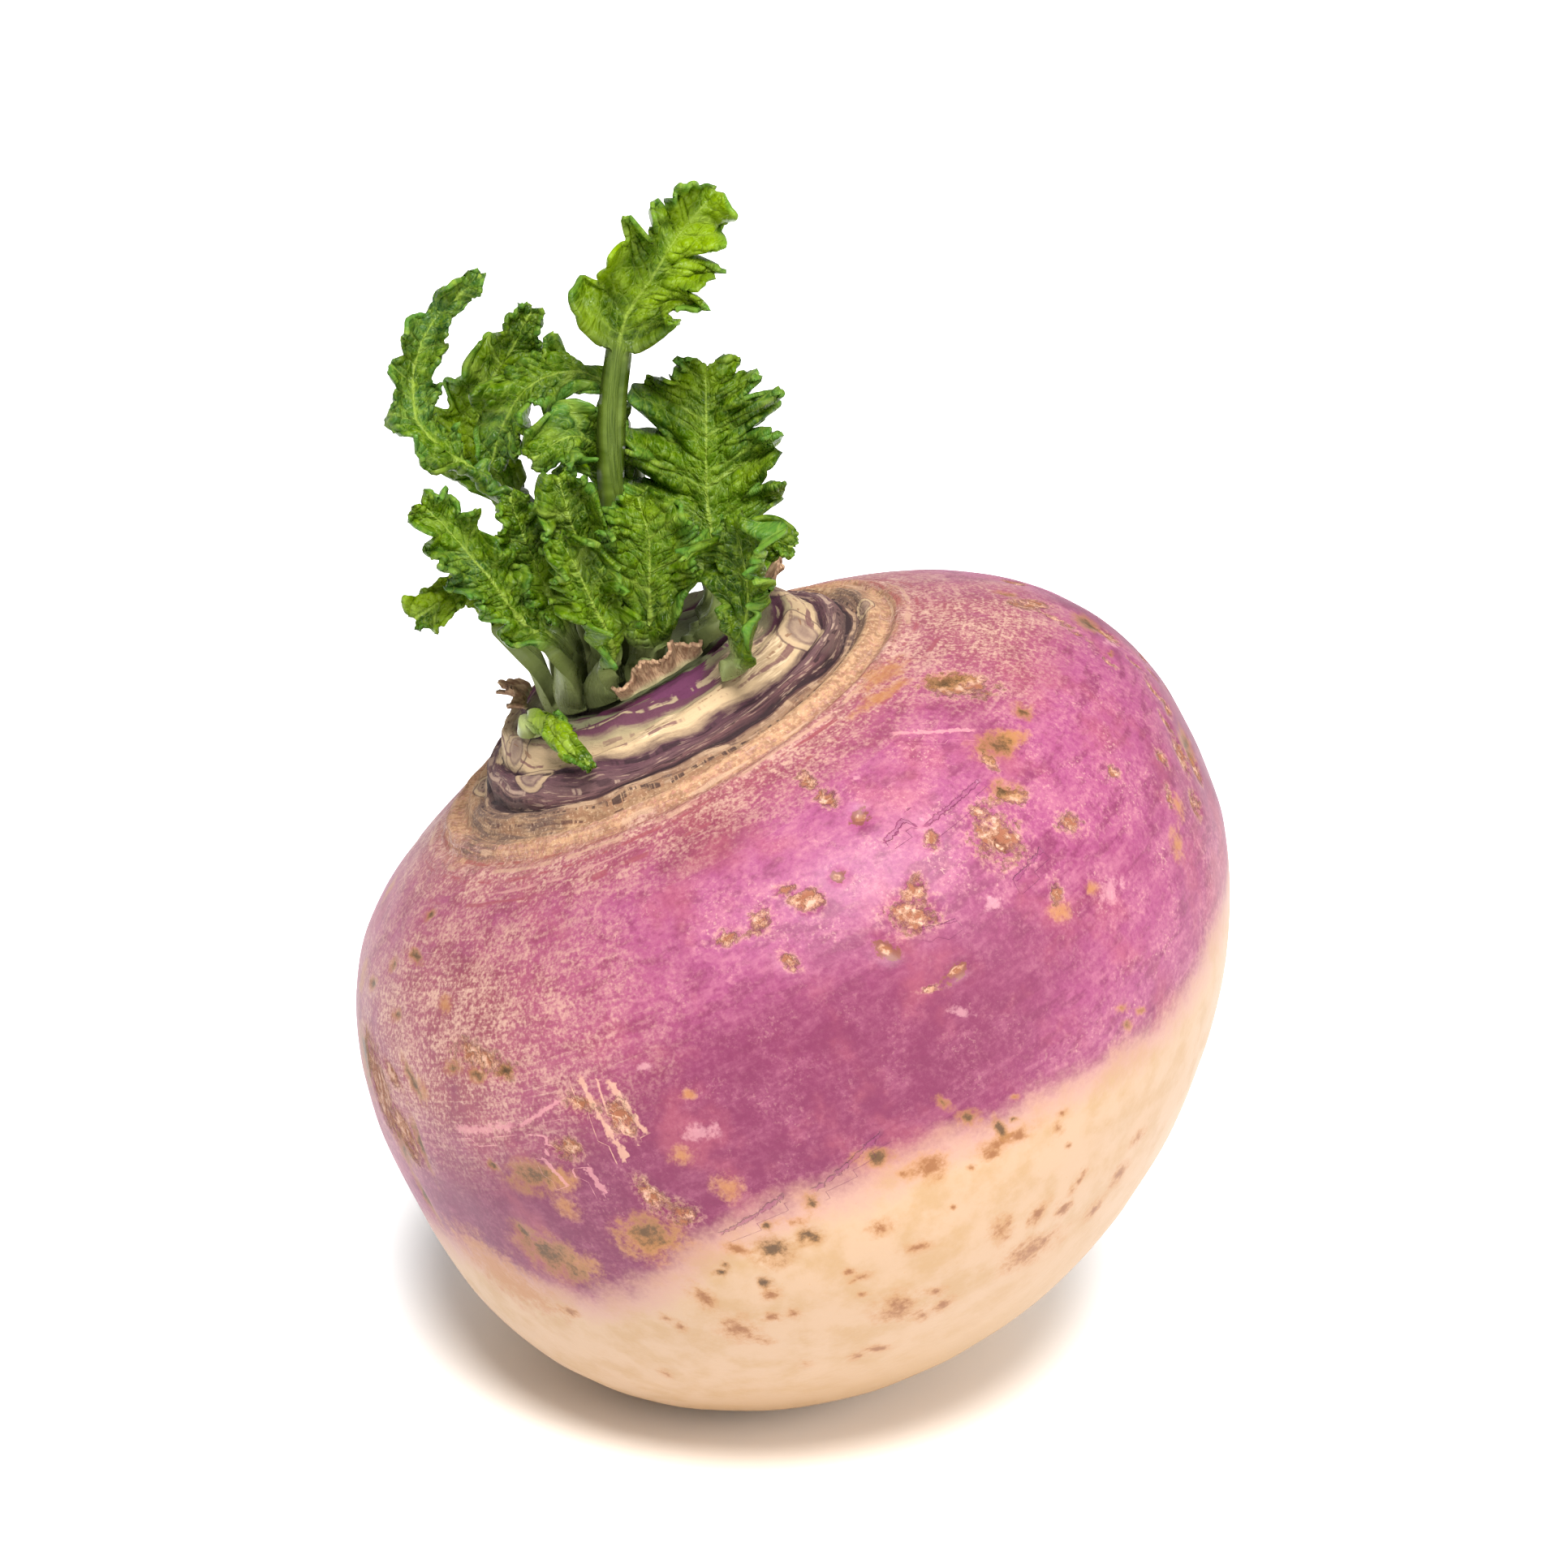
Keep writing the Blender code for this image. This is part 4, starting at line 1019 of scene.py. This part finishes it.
    rough = finish.step(finish.math("MAXIMUM", corky, finish.attribute("scab")), 0.3, 0.7, look.gloss, 0.85)
    finish.set("Roughness", rough)
    finish.set("Specular IOR Level", 0.28)
    cork_bump = finish.times(streak, corky)
    height = finish.math("MULTIPLY_ADD", grain, finish.step(corky, 0, 1, 0.12, 0.5), cork_bump)
    height = finish.math("SUBTRACT", height, creased)
    height = finish.math(
        "MULTIPLY_ADD", marked("scab", 0.5, 0.7), finish.step(scaly, 0.4, 0.6, -1.4, -0.4), height
    )
    height = finish.math("MULTIPLY_ADD", finish.times(level_streak, shoulder), 0.5, height)
    finish.set("Normal", finish.bump(height, 0.35 * MM, 0.7))
    return finish.material


# ---------------------------------------------------------------- leaves


def direction(lean, heading):
    """A unit vector this far from upright, in degrees, towards a heading counted from +X to +Y."""
    lean, heading = math.radians(lean), math.radians(heading)
    return Vector(
        (math.sin(lean) * math.cos(heading), math.sin(lean) * math.sin(heading), math.cos(lean))
    )


def crown_point(radius, around):
    """A point of the crown's surface, in the root frame, at this distance from the axis."""
    shoulder = 1 - (radius / WIDEST_RADIUS) ** UPPER_POWER
    height = UPPER_HEIGHT * shoulder ** (1 / UPPER_POWER) + crown_height(radius, around)
    return Vector((radius * math.cos(around), radius * math.sin(around), height))


def foot_place(foot):
    """Where a foot stands on the crown, in the world, and the way it points."""
    radius, around = foot[0] * MM, math.radians(foot[1])
    out = crown_point(radius + FOOT_SPAN, around) - crown_point(max(radius - FOOT_SPAN, 0), around)
    lift = FOOT_GAP + SCAR_RELIEF * smooth_step(BASIN_RADIUS, NECK_RADIUS, radius)
    around_it = Vector((-math.sin(around), math.cos(around), 0))
    turn = root_to_world().to_quaternion()
    normal = turn @ out.cross(around_it).normalized()
    return root_to_world() @ crown_point(radius, around) + normal * lift, normal, turn @ out.normalized()


def route_points(leaf, normal):
    """The midrib's points, from the foot, evenly spaced on a smooth curve through the leaf's route."""
    knots = [Vector((0, 0, 0))] + [Vector(point) * MM for point in leaf.route]
    knots = [-normal * knots[1].length] + knots + [knots[-1] * 2 - knots[-2]]
    dense = []
    for first, start, stop, last in zip(knots, knots[1:], knots[2:], knots[3:]):
        for step in range(ROUTE_STEPS):
            share = step / ROUTE_STEPS
            ease = (
                start * 2
                + (stop - first) * share
                + (first * 2 - start * 5 + stop * 4 - last) * share**2
                + (start * 3 - first - stop * 3 + last) * share**3
            )
            dense.append(ease / 2)
    dense.append(knots[-2])
    lengths = [0.0]
    for before, after in zip(dense, dense[1:]):
        lengths.append(lengths[-1] + (after - before).length)
    points, place = [], 0
    for step in range(SPINE_STEPS + 1):
        goal = lengths[-1] * step / SPINE_STEPS
        while place < len(dense) - 2 and lengths[place + 1] < goal:
            place += 1
        share = (goal - lengths[place]) / (lengths[place + 1] - lengths[place])
        point = dense[place].lerp(dense[place + 1], share)
        points.append((normal * goal).lerp(point, smooth_step(0, FOOT_STRAIGHT, goal)))
    return points, lengths[-1]


def leaf_spine(leaf):
    """The leaf's length, and its point, along, across and face vectors for each even step of the midrib."""
    place, normal, out = foot_place(leaf.foot)
    points, length = route_points(leaf, normal)
    start, tip = (direction(*face) for face in leaf.faces)
    spine = []
    for step, point in enumerate(points):
        share = step / SPINE_STEPS
        before, after = points[max(step - 2, 0)], points[min(step + 2, SPINE_STEPS)]
        along = (after - before).normalized() if step else normal
        blade_share = max(0.0, (share - leaf.bare) / (1 - leaf.bare))
        face = start.lerp(tip, blade_share)
        face = (-out).lerp(face, smooth_step(0, leaf.bare + 0.05, share))
        side = along.cross(face).normalized()
        spine.append((place + point, along, side, side.cross(along)))
    return spine, length


def lobe_phase(leaf, share, right):
    """How many lobes lie between the blade's start and this share of its length. No two are as long."""
    side = 0.3 if right else 0
    return leaf.lobes * share + side + UNEVEN_LOBES * math.sin(math.tau * (share * 1.4 + side + leaf.width))


def blade_outline(leaf, share, right):
    """The blade's half width, with its lobes and teeth, at this share of the blade's own length."""
    swell = math.sin(math.pi * min(1, share * 0.94 + 0.02) ** (math.log(0.5) / math.log(leaf.peak))) ** 0.6
    phase = lobe_phase(leaf, share, right)
    lobe = abs(math.sin(math.pi * phase)) ** 0.6
    own = Vector((phase, leaf.width * 7.3, 1.5 if right else 6.5))
    teeth = noise.noise(own * 2.6) + 0.9 * noise.noise(own * 6.0) + 0.3 * noise.noise(own * 13)
    return leaf.width * MM * swell * (1 - leaf.cut * (1 - lobe)) * (1 + TOOTH_DEPTH * teeth)


def side_vein(leaf, bladed, far, right):
    """How near a point of the blade is to a side vein, from 0 to 1: one runs out to each lobe."""
    phase = lobe_phase(leaf, bladed, right)
    main = abs((phase % 1) - 0.5)
    minor = abs(((phase * 3 + 0.5) % 1) - 0.5) / 3
    width = mix(0.055, 0.03, far)
    return max(math.exp(-((main / width) ** 2)), 0.6 * math.exp(-((minor / (width * 0.7)) ** 2)))


LeafPoint = namedtuple("LeafPoint", "place wide long rib vein bladed light edge foot thick")
# One point of a leaf: where it is, its flat distances in mm, how near it is to a rib or vein, how far the
# blade has opened there, how yellow its painted light is, how near it is to its frilled edge, where a glint
# is painted, and to its foot, and its share of the stalk's thickness.
"""One point of a leaf: where it is, its flat distances in mm, how near it is to a rib or vein,
how far the blade has opened there, how yellow its light is, how near its frilled edge and its foot it is,
and its share of the stalk's thickness."""


def leaf_point(leaf, spine, length, share, across):
    """The middle of the leaf's thickness, at a share of its length and -1 to 1 across it."""
    point, along, side, face = spine[round(share * SPINE_STEPS)]
    right = across > 0
    far = abs(across)
    stalk = STALK_HALF_WIDTH * (1 + STALK_FLARE * math.exp(-((share / 0.1) ** 2))) * (1 - STALK_TAPER * share)
    bladed = max(0.0, (share - leaf.bare) / (1 - leaf.bare))
    opened = smooth_step(0, 0.12, bladed)
    half = mix(stalk, max(blade_outline(leaf, bladed, right), 0.5 * MM), opened)
    phase = lobe_phase(leaf, bladed, right)
    own = Vector((phase, leaf.width * 3.1 + (2.0 if right else 9.0), 0))
    curl = noise.noise(own * 1.3) + 0.5 * noise.noise(own * 3.1)
    cup = mix(STALK_CUP, math.radians(leaf.cup) + CURL * curl * far**1.5, opened)
    cup = cup if abs(cup) > 0.01 else 0.01
    reach = half * math.sin(cup * across) / cup
    rise = half * (1 - math.cos(cup * across)) / cup
    wave = math.sin(math.tau * (leaf.lobes * bladed + (0.55 if right else 0.0)))
    rise += leaf.ruffle * MM * opened * across**2 * wave
    narrow = min(1.0, half / (3.5 * MM)) * opened
    rise += RUFFLE * narrow * far**2 * noise.noise(own * 2.9 + Vector((0, far * 2.5, 3)))
    rise += FRILL * narrow * far**3 * noise.noise(own * 7.5 + Vector((0, far * 5, 5)))
    vein = side_vein(leaf, bladed, far, right) * opened
    spot = Vector((across * half, share * length, leaf.width * MM * 9)) / BLISTER_SIZE
    blister = noise.noise(spot) + 0.45 * noise.noise(spot * 2.3)
    rise += (BLISTER * (1 - vein) * blister - VEIN_SINK * vein) * opened * smooth_step(0, 0.25, far)
    slant = VEIN_SLANT * opened
    reach_way = side * math.cos(slant) + along * math.sin(slant) * (1 if right else -1)
    off_rib = across * half
    rib = math.exp(-((off_rib / (FINE_RIB * (1.25 - bladed))) ** 2))
    stem = 1 - STALK_TAPER * share
    thin = BLADE_THICKNESS / STALK_THICKNESS
    carried = math.exp(-((off_rib / RIB_HALF_WIDTH) ** 2)) * (1 - share)
    thick = mix(stem, thin + (stem - thin) * carried + 0.1 * vein, smooth_step(0, 0.12, bladed))
    light = LEAF_PAINTED_LIGHT.get(leaf.name, 0.5) + 0.5 * noise.noise(spot * 0.35) + 0.2 * noise.noise(spot)
    place = point + reach_way * reach + face * rise
    foot = math.exp(-((share * length / PALE_FOOT) ** 2))
    edge = smooth_step(0.5, 1, far) * opened * (0.6 + noise.noise(spot * 0.6 + Vector((3, 1, 8))))
    return LeafPoint(
        place, across * half / MM, share * length / MM, rib, vein, opened, light, edge, foot, thick
    )


def build_leaf(leaf, look, finish):
    spine, length = leaf_spine(leaf)
    rows = look.rows
    stalk_rows = max(FEWEST_STALK_ROWS, round(rows * leaf.bare * STALK_ROW_SHARE))
    mesh = bmesh.new()
    bmesh.ops.create_grid(mesh, x_segments=look.across, y_segments=rows, size=1)
    flat = mesh.loops.layers.uv.new("leaf")
    found = {}
    for vertex in mesh.verts:
        across, row = vertex.co.x, round((vertex.co.y + 1) / 2 * rows)
        if row < stalk_rows:
            share = leaf.bare * (row / stalk_rows) ** STALK_ROW_CROWDING
        else:
            share = mix(leaf.bare, 1, (row - stalk_rows) / (rows - stalk_rows))
        found[vertex.index] = leaf_point(leaf, spine, length, share, across)
        vertex.co = found[vertex.index].place
    for face in mesh.faces:
        for loop in face.loops:
            point = found[loop.vert.index]
            loop[flat].uv = (point.wide / UV_SPAN + 0.5, point.long / UV_SPAN)
    points = [found[index] for index in range(len(found))]
    obj = new_object(leaf.name + "_fine", mesh, finish)
    for name in ("rib", "vein", "bladed", "light", "edge", "foot"):
        store(obj, name, [getattr(point, name) for point in points])
    thicken(obj, [point.thick for point in points], STALK_THICKNESS)
    return obj


def thicken(obj, weights, thickness):
    """Gives a sheet its thickness, as a share for each point, evenly to both sides."""
    group = obj.vertex_groups.new(name="thickness")
    for index, weight in enumerate(weights):
        group.add([index], weight, "REPLACE")
    solid = obj.modifiers.new("thickness", "SOLIDIFY")
    solid.thickness = thickness
    solid.offset = 0
    solid.vertex_group = group.name


def leaf_finish(look):
    finish = Finish("turnip_leaf")
    flat = finish.node("UVMap", uv_map="leaf").outputs[0]
    here = finish.node("TexCoord").outputs["Object"]
    bladed = finish.attribute("bladed")
    light = finish.attribute("light")
    net = finish.cells(flat, 8.0)
    fine_net = finish.cells(flat, 24.0)
    broad = finish.noise(here, 150.0, 3)
    grain = finish.noise(here, 1100.0, 3, 0.6)
    green = finish.colour(finish.step(broad, 0.36, 0.62), look.green_deep[:], look.green[:])
    # Painted light and shade: a blade is drawn yellower where it is lit and duller bluish where it is less
    # lit.
    green = finish.tinted(green, look.green_light[:], finish.step(light, 0.55, 1.0), 0.85)
    green = finish.tinted(green, look.green_blue_shade[:], finish.step(light, 0.38, 0.1), 0.7)
    green = finish.tinted(green, look.green_light[:], finish.step(grain, 0.45, 0.7), 0.4)
    # Painted highlight: the frilled edges are drawn lighter and bluer, as the lamps' glints on their curls.
    frill_glint_share = finish.times(finish.step(finish.attribute("edge"), 0.3, 0.95), 0.7)
    green = finish.colour(frill_glint_share, green, look.frill_glint[:])
    netted = finish.times(finish.step(net, 0.07, 0.0), 0.45)
    netted = finish.math("MAXIMUM", netted, finish.times(finish.step(fine_net, 0.1, 0.0), 0.22))
    veined = finish.math("MAXIMUM", netted, finish.times(finish.attribute("vein"), 0.85))
    veined = finish.math("MAXIMUM", veined, finish.step(finish.attribute("rib"), 0.3, 0.9))
    green = finish.tinted(green, look.vein[:], veined, 0.75)
    lengthwise = finish.noise(
        finish.node("Mapping", flat, None, None, (60.0, 2.5, 1.0)).outputs[0], 1.0, 3, 0.6
    )
    stalk = finish.colour(finish.step(lengthwise, 0.35, 0.65), look.stalk[:], look.stalk_light[:])
    pale = finish.times(finish.attribute("foot"), finish.step(lengthwise, 0.25, 0.6, 0.6, 1.0))
    stalk = finish.colour(pale, stalk, look.foot[:])
    skin = finish.toned(finish.colour(bladed, stalk, green))
    finish.set("Base Color", skin)
    finish.set("Roughness", finish.step(grain, 0.3, 0.7, look.gloss, look.gloss + 0.2))
    finish.set("Specular IOR Level", 0.15)
    height = finish.step(net, 0.0, 0.35)
    height = finish.math("MULTIPLY_ADD", finish.step(fine_net, 0.0, 0.3), 0.3, height)
    height = finish.math("MULTIPLY_ADD", grain, 0.5, height)
    height = finish.times(height, bladed)
    height = finish.math("MULTIPLY_ADD", lengthwise, 0.5, height)
    normal = finish.bump(height, 0.25 * MM, 0.8)
    finish.set("Normal", normal)
    glow = finish.node("BsdfTranslucent", finish.colour(0.5, skin, look.glow[:]), normal)
    through = finish.node("MixShader", finish.times(bladed, look.through), None, None)
    finish.tree.links.new(finish.shader.outputs[0], through.inputs[1])
    finish.tree.links.new(glow.outputs[0], through.inputs[2])
    out = finish.tree.nodes["Material Output"]
    finish.tree.links.new(through.outputs[0], out.inputs["Surface"])
    return finish.material


# ---------------------------------------------------------------- dry scales


def build_scale(scale, look, finish):
    mesh = bmesh.new()
    bmesh.ops.create_grid(mesh, x_segments=SCALE_COLUMNS, y_segments=SCALE_ROWS, size=1)
    flat = mesh.loops.layers.uv.new("scale")
    places = {}
    for vertex in mesh.verts:
        along, up = (vertex.co.x + 1) / 2, (vertex.co.y + 1) / 2
        places[vertex.index] = (along * (scale.stop - scale.start) * 0.02, up)
        turn = mix(scale.start, scale.stop, along)
        place, normal, out = foot_place((scale.radius, turn))
        rise = scale.height * MM * math.sin(math.pi * mix(0.12, 0.88, along)) ** 0.6
        rise *= 1 + 0.25 * math.sin(17 * along + 2)
        torn = noise.noise(Vector((along * 26, scale.radius, 0)))
        torn += 0.5 * noise.noise(Vector((along * 70, 4, 0)))
        rise *= SCALE_TORN + 0.2 * torn * up
        wave = SCALE_RUFFLE * math.sin(23 * along + scale.radius) * up
        wave += SCALE_WAVE * noise.noise(Vector((along * 14, up * 3, scale.radius))) * up
        vertex.co = place + normal * (rise * up) + out * (scale.flare * MM * up**2 + wave)
    for face in mesh.faces:
        for loop in face.loops:
            loop[flat].uv = places[loop.vert.index]
    obj = new_object(scale.name + "_fine", mesh, finish)
    thicken(obj, [1] * len(obj.data.vertices), look.thickness)
    return obj


def scale_finish(look):
    finish = Finish("turnip_dry_scale")
    here = finish.node("TexCoord").outputs["Object"]
    flat = finish.node("UVMap", uv_map="scale").outputs[0]
    fibres = finish.noise(finish.node("Mapping", flat, None, None, (60.0, 3.0, 1.0)).outputs[0], 1.0, 4, 0.6)
    grain = finish.noise(here, 900.0, 3, 0.6)
    up = finish.node("SeparateXYZ", flat).outputs[1]
    papery = finish.colour(finish.step(fibres, 0.35, 0.65), look.brown[:], look.straw[:])
    papery = finish.tinted(papery, look.fleck[:], finish.step(grain, 0.5, 0.7), 0.5)
    papery = finish.colour(finish.step(up, 0.35, 0.0), papery, look.foot[:])
    finish.set("Base Color", finish.toned(papery))
    finish.set("Roughness", 0.75)
    finish.set("Normal", finish.bump(finish.math("ADD", fibres, grain), 0.2 * MM, 0.7))
    return finish.material


# ---------------------------------------------------------------- stage


# The root's warm bounced light is painted on the floor near it.
PAINTED_WARM_LIGHT_REACH = (20 * MM, 42 * MM)  # how far out the floor's warm light starts to fade, and where it ends
FLOOR_SIDES = 96
KEY_LIGHT = ((0.20, -1.65, 2.85), 1.6)  # where it stands from the turnip's middle, and how wide it is
SIDE_LIGHT = ((1.70, -1.50, 1.10), 1.4)
SENSOR_WIDTH = 36  # in mm, as the lens is
NEAREST_SEEN = 0.01


def floor_finish(look):
    """A pale floor with a little of the root's warm bounced light painted on it near the root."""
    finish = Finish("pale_floor")
    place = finish.node("TexCoord").outputs["Object"]
    away = finish.node("VectorMath", place, operation="LENGTH").outputs["Value"]
    cool = finish.step(away, *PAINTED_WARM_LIGHT_REACH)
    finish.set("Base Color", finish.colour(cool, look.floor_painted_warm_light[:], look.floor_colour[:]))
    finish.set("Roughness", 0.9)
    return finish.material


def build_stage(look):
    mesh = bmesh.new()
    bmesh.ops.create_circle(mesh, cap_ends=True, radius=look.floor_radius, segments=FLOOR_SIDES)
    floor = new_object("floor", mesh, floor_finish(look))
    world = bpy.context.scene.world or bpy.data.worlds.new("studio")
    bpy.context.scene.world = world
    world.use_nodes = True
    sky = world.node_tree.nodes["Background"]
    sky.inputs["Color"].default_value = (1, 1, 1, 1)
    sky.inputs["Strength"].default_value = look.sky
    low, high = (Vector(corner) for corner in CAD_BOUNDS)
    middle = (low + high) / 2
    for name, (offset, size), power in (
        ("key_light", KEY_LIGHT, look.key_power),
        ("side_light", SIDE_LIGHT, look.side_power),
    ):
        lamp = bpy.data.lights.new(name, "AREA")
        lamp.shape = "DISK"
        lamp.size = size
        lamp.energy = power
        holder = bpy.data.objects.new(name, lamp)
        holder.location = middle + Vector(offset)
        holder.rotation_euler = (-Vector(offset)).to_track_quat("-Z", "Y").to_euler()
        bpy.context.scene.collection.objects.link(holder)
    camera = bpy.data.cameras.new("camera")
    camera.lens = look.lens
    camera.sensor_width = SENSOR_WIDTH
    camera.clip_start = NEAREST_SEEN
    holder = bpy.data.objects.new("camera", camera)
    bpy.context.scene.collection.objects.link(holder)
    down = look.camera_down
    back = Vector((0, -math.cos(down), math.sin(down)))
    holder.location = Vector(CAMERA_AIM) + back * look.camera_distance
    holder.rotation_euler = (math.pi / 2 - down, 0, 0)
    bpy.context.scene.camera = holder
    bpy.context.scene.view_settings.view_transform = "Standard"


# ---------------------------------------------------------------- settings and operators


def colour_property(name, colour, description):
    return FloatVectorProperty(
        name=name, description=description, default=colour, size=3, min=0, max=1, subtype="COLOR"
    )


class RootLook(bpy.types.PropertyGroup):
    columns: IntProperty(name="Columns", description="Faces round the root", default=360, min=32, max=400)
    mark_depth: FloatProperty(
        name="Mark depth", description="How deep the deepest pits are", default=0.8 * MM, unit="LENGTH"
    )
    gloss: FloatProperty(
        name="Roughness", description="Roughness of the smooth skin", default=0.5, subtype="FACTOR"
    )
    purple: colour_property("Purple", (0.205, 0.024, 0.082), "The upper skin")
    purple_deep: colour_property("Deep purple", (0.145, 0.014, 0.054), "The darker patches of the upper skin")
    # Partly painted light: the skin near the shoulders and on the lit right side.
    purple_light: colour_property("Light purple", (0.290, 0.056, 0.148), "The skin near the shoulders")
    pink: colour_property("Pink", (0.385, 0.122, 0.190), "The lighter mottling of the upper skin")
    russet: colour_property(
        "Russet", (0.255, 0.062, 0.070), "The skin under the fine lines round the shoulders"
    )
    tan: colour_property("Tan", (0.520, 0.320, 0.240), "The fine lines round the shoulders")
    cream: colour_property("Cream", (0.468, 0.307, 0.188), "The lower skin")
    # Also painted shade: the cream is drawn in this colour towards the root's tip.
    cream_warm_and_shaded: colour_property("Warm cream", (0.415, 0.255, 0.124), "The warmer parts of the lower skin")


class LeafLook(bpy.types.PropertyGroup):
    rows: IntProperty(name="Rows", description="Faces along a leaf", default=170, min=20, max=400)
    across: IntProperty(name="Columns", description="Faces across a leaf", default=44, min=8, max=120)
    gloss: FloatProperty(
        name="Roughness", description="Roughness of the glossiest spots", default=0.22, subtype="FACTOR"
    )
    through: FloatProperty(
        name="Glow", description="Share of light let through a blade", default=0.3, subtype="FACTOR"
    )
    green: colour_property("Green", (0.072, 0.150, 0.001), "The blades")
    green_deep: colour_property("Deep green", (0.022, 0.060, 0.001), "The darker parts of the blades")
    # Painted light: the lit parts of the blades.
    green_light: colour_property("Light green", (0.260, 0.390, 0.001), "The lit parts of the blades")
    # Painted shade: the less lit, bluish parts of the blades.
    green_blue_shade: colour_property("Bluish green", (0.040, 0.115, 0.028), "The dull parts of the blades")
    # Painted highlight: the glints on the frilled edges.
    frill_glint: colour_property("Frill", (0.100, 0.250, 0.034), "The frilled edges of the blades")
    vein: colour_property("Vein", (0.340, 0.460, 0.060), "The ribs and veins")
    stalk: colour_property("Stalk", (0.042, 0.072, 0.003), "The stalks")
    stalk_light: colour_property("Pale stalk", (0.110, 0.160, 0.020), "The pale lines along the stalks")
    foot: colour_property("Foot", (0.300, 0.340, 0.130), "The pale feet of the stalks")
    glow: colour_property("Glow", (0.420, 0.760, 0.001), "The light that comes through a blade")


class ScaleLook(bpy.types.PropertyGroup):
    thickness: FloatProperty(
        name="Thickness", description="Thickness of a dry scale", default=0.35 * MM, unit="LENGTH"
    )
    brown: colour_property("Brown", (0.26, 0.13, 0.065), "The darker fibres")
    straw: colour_property("Straw", (0.50, 0.32, 0.18), "The paler fibres")
    fleck: colour_property("Fleck", (0.16, 0.07, 0.04), "The dark flecks")
    foot: colour_property("Foot", (0.34, 0.29, 0.14), "The greener foot of a scale")


class StageLook(bpy.types.PropertyGroup):
    floor_radius: FloatProperty(
        name="Floor radius", description="Half the floor's width", default=3, unit="LENGTH"
    )
    floor_colour: colour_property("Floor", (0.96, 0.96, 0.96), "The plain floor")
    # Painted light: the root's warm bounced light on the floor near it.
    floor_painted_warm_light: colour_property(
        "Warm floor", (0.96, 0.86, 0.75), "The floor close to the root, in its warm light"
    )
    sky: FloatProperty(name="Sky", description="Strength of the even light from all round", default=0.55)
    key_power: FloatProperty(
        name="Key light", description="Power of the light above", default=277, unit="POWER"
    )
    side_power: FloatProperty(
        name="Side light", description="Power of the light on the right", default=39, unit="POWER"
    )
    lens: FloatProperty(name="Lens", description="Focal length in mm", default=100)
    camera_down: FloatProperty(
        name="Camera angle", description="How far the camera looks down",
        default=math.radians(22.41), subtype="ANGLE",
    )
    camera_distance: FloatProperty(
        name="Camera distance", description="From the camera to what it looks at",
        default=0.437, unit="LENGTH",
    )


class TURNIP_OT_root(bpy.types.Operator):
    """Make the root's fine skin, with its crown, marks and colours"""

    bl_idname = "turnip.root"
    bl_label = "Make the root"

    def execute(self, context):
        skin = build_root(context.scene.turnip_root)
        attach(skin, "root")
        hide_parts("root")
        return {"FINISHED"}


class TURNIP_OT_leaves(bpy.types.Operator):
    """Make the leaves, with their veins, ruffles and stalks"""

    bl_idname = "turnip.leaves"
    bl_label = "Make the leaves"

    def execute(self, context):
        look = context.scene.turnip_leaves
        finish = leaf_finish(look)
        for leaf in LEAVES:
            made = build_leaf(leaf, look, finish)
            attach(made, "root")
            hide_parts(leaf.name)
        return {"FINISHED"}


class TURNIP_OT_scales(bpy.types.Operator):
    """Make the papery scales round the foot of the leaves"""

    bl_idname = "turnip.scales"
    bl_label = "Make the dry scales"

    def execute(self, context):
        look = context.scene.turnip_scales
        finish = scale_finish(look)
        for scale in SCALES:
            made = build_scale(scale, look, finish)
            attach(made, "root")
            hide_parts(scale.name)
        return {"FINISHED"}


class TURNIP_OT_stage(bpy.types.Operator):
    """Make the floor, the lights and the camera"""

    bl_idname = "turnip.stage"
    bl_label = "Make the stage"

    def execute(self, context):
        build_stage(context.scene.turnip_stage)
        return {"FINISHED"}


OPERATORS = (TURNIP_OT_root, TURNIP_OT_leaves, TURNIP_OT_scales, TURNIP_OT_stage)
LOOKS = {
    "turnip_root": RootLook,
    "turnip_leaves": LeafLook,
    "turnip_scales": ScaleLook,
    "turnip_stage": StageLook,
}


class TURNIP_PT_panel(bpy.types.Panel):
    """The turnip's settings and the buttons that make its pieces"""

    bl_idname = "TURNIP_PT_panel"
    bl_label = "Turnip"
    bl_space_type = "VIEW_3D"
    bl_region_type = "UI"
    bl_category = "Turnip"

    def draw(self, context):
        for operator, (setting, look) in zip(OPERATORS, LOOKS.items()):
            box = self.layout.box()
            box.operator(operator.bl_idname)
            for name in look.__annotations__:
                box.prop(getattr(context.scene, setting), name)


def register():
    for made in (*LOOKS.values(), *OPERATORS, TURNIP_PT_panel):
        bpy.utils.register_class(made)
    for setting, look in LOOKS.items():
        setattr(bpy.types.Scene, setting, PointerProperty(type=look))


def unregister():
    for setting in LOOKS:
        delattr(bpy.types.Scene, setting)
    for made in (TURNIP_PT_panel, *reversed(OPERATORS), *reversed(LOOKS.values())):
        bpy.utils.unregister_class(made)


def main():
    register()
    bpy.ops.turnip.root()
    bpy.ops.turnip.leaves()
    bpy.ops.turnip.scales()
    bpy.ops.turnip.stage()
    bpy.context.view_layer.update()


if __name__ == "__main__":
    main()
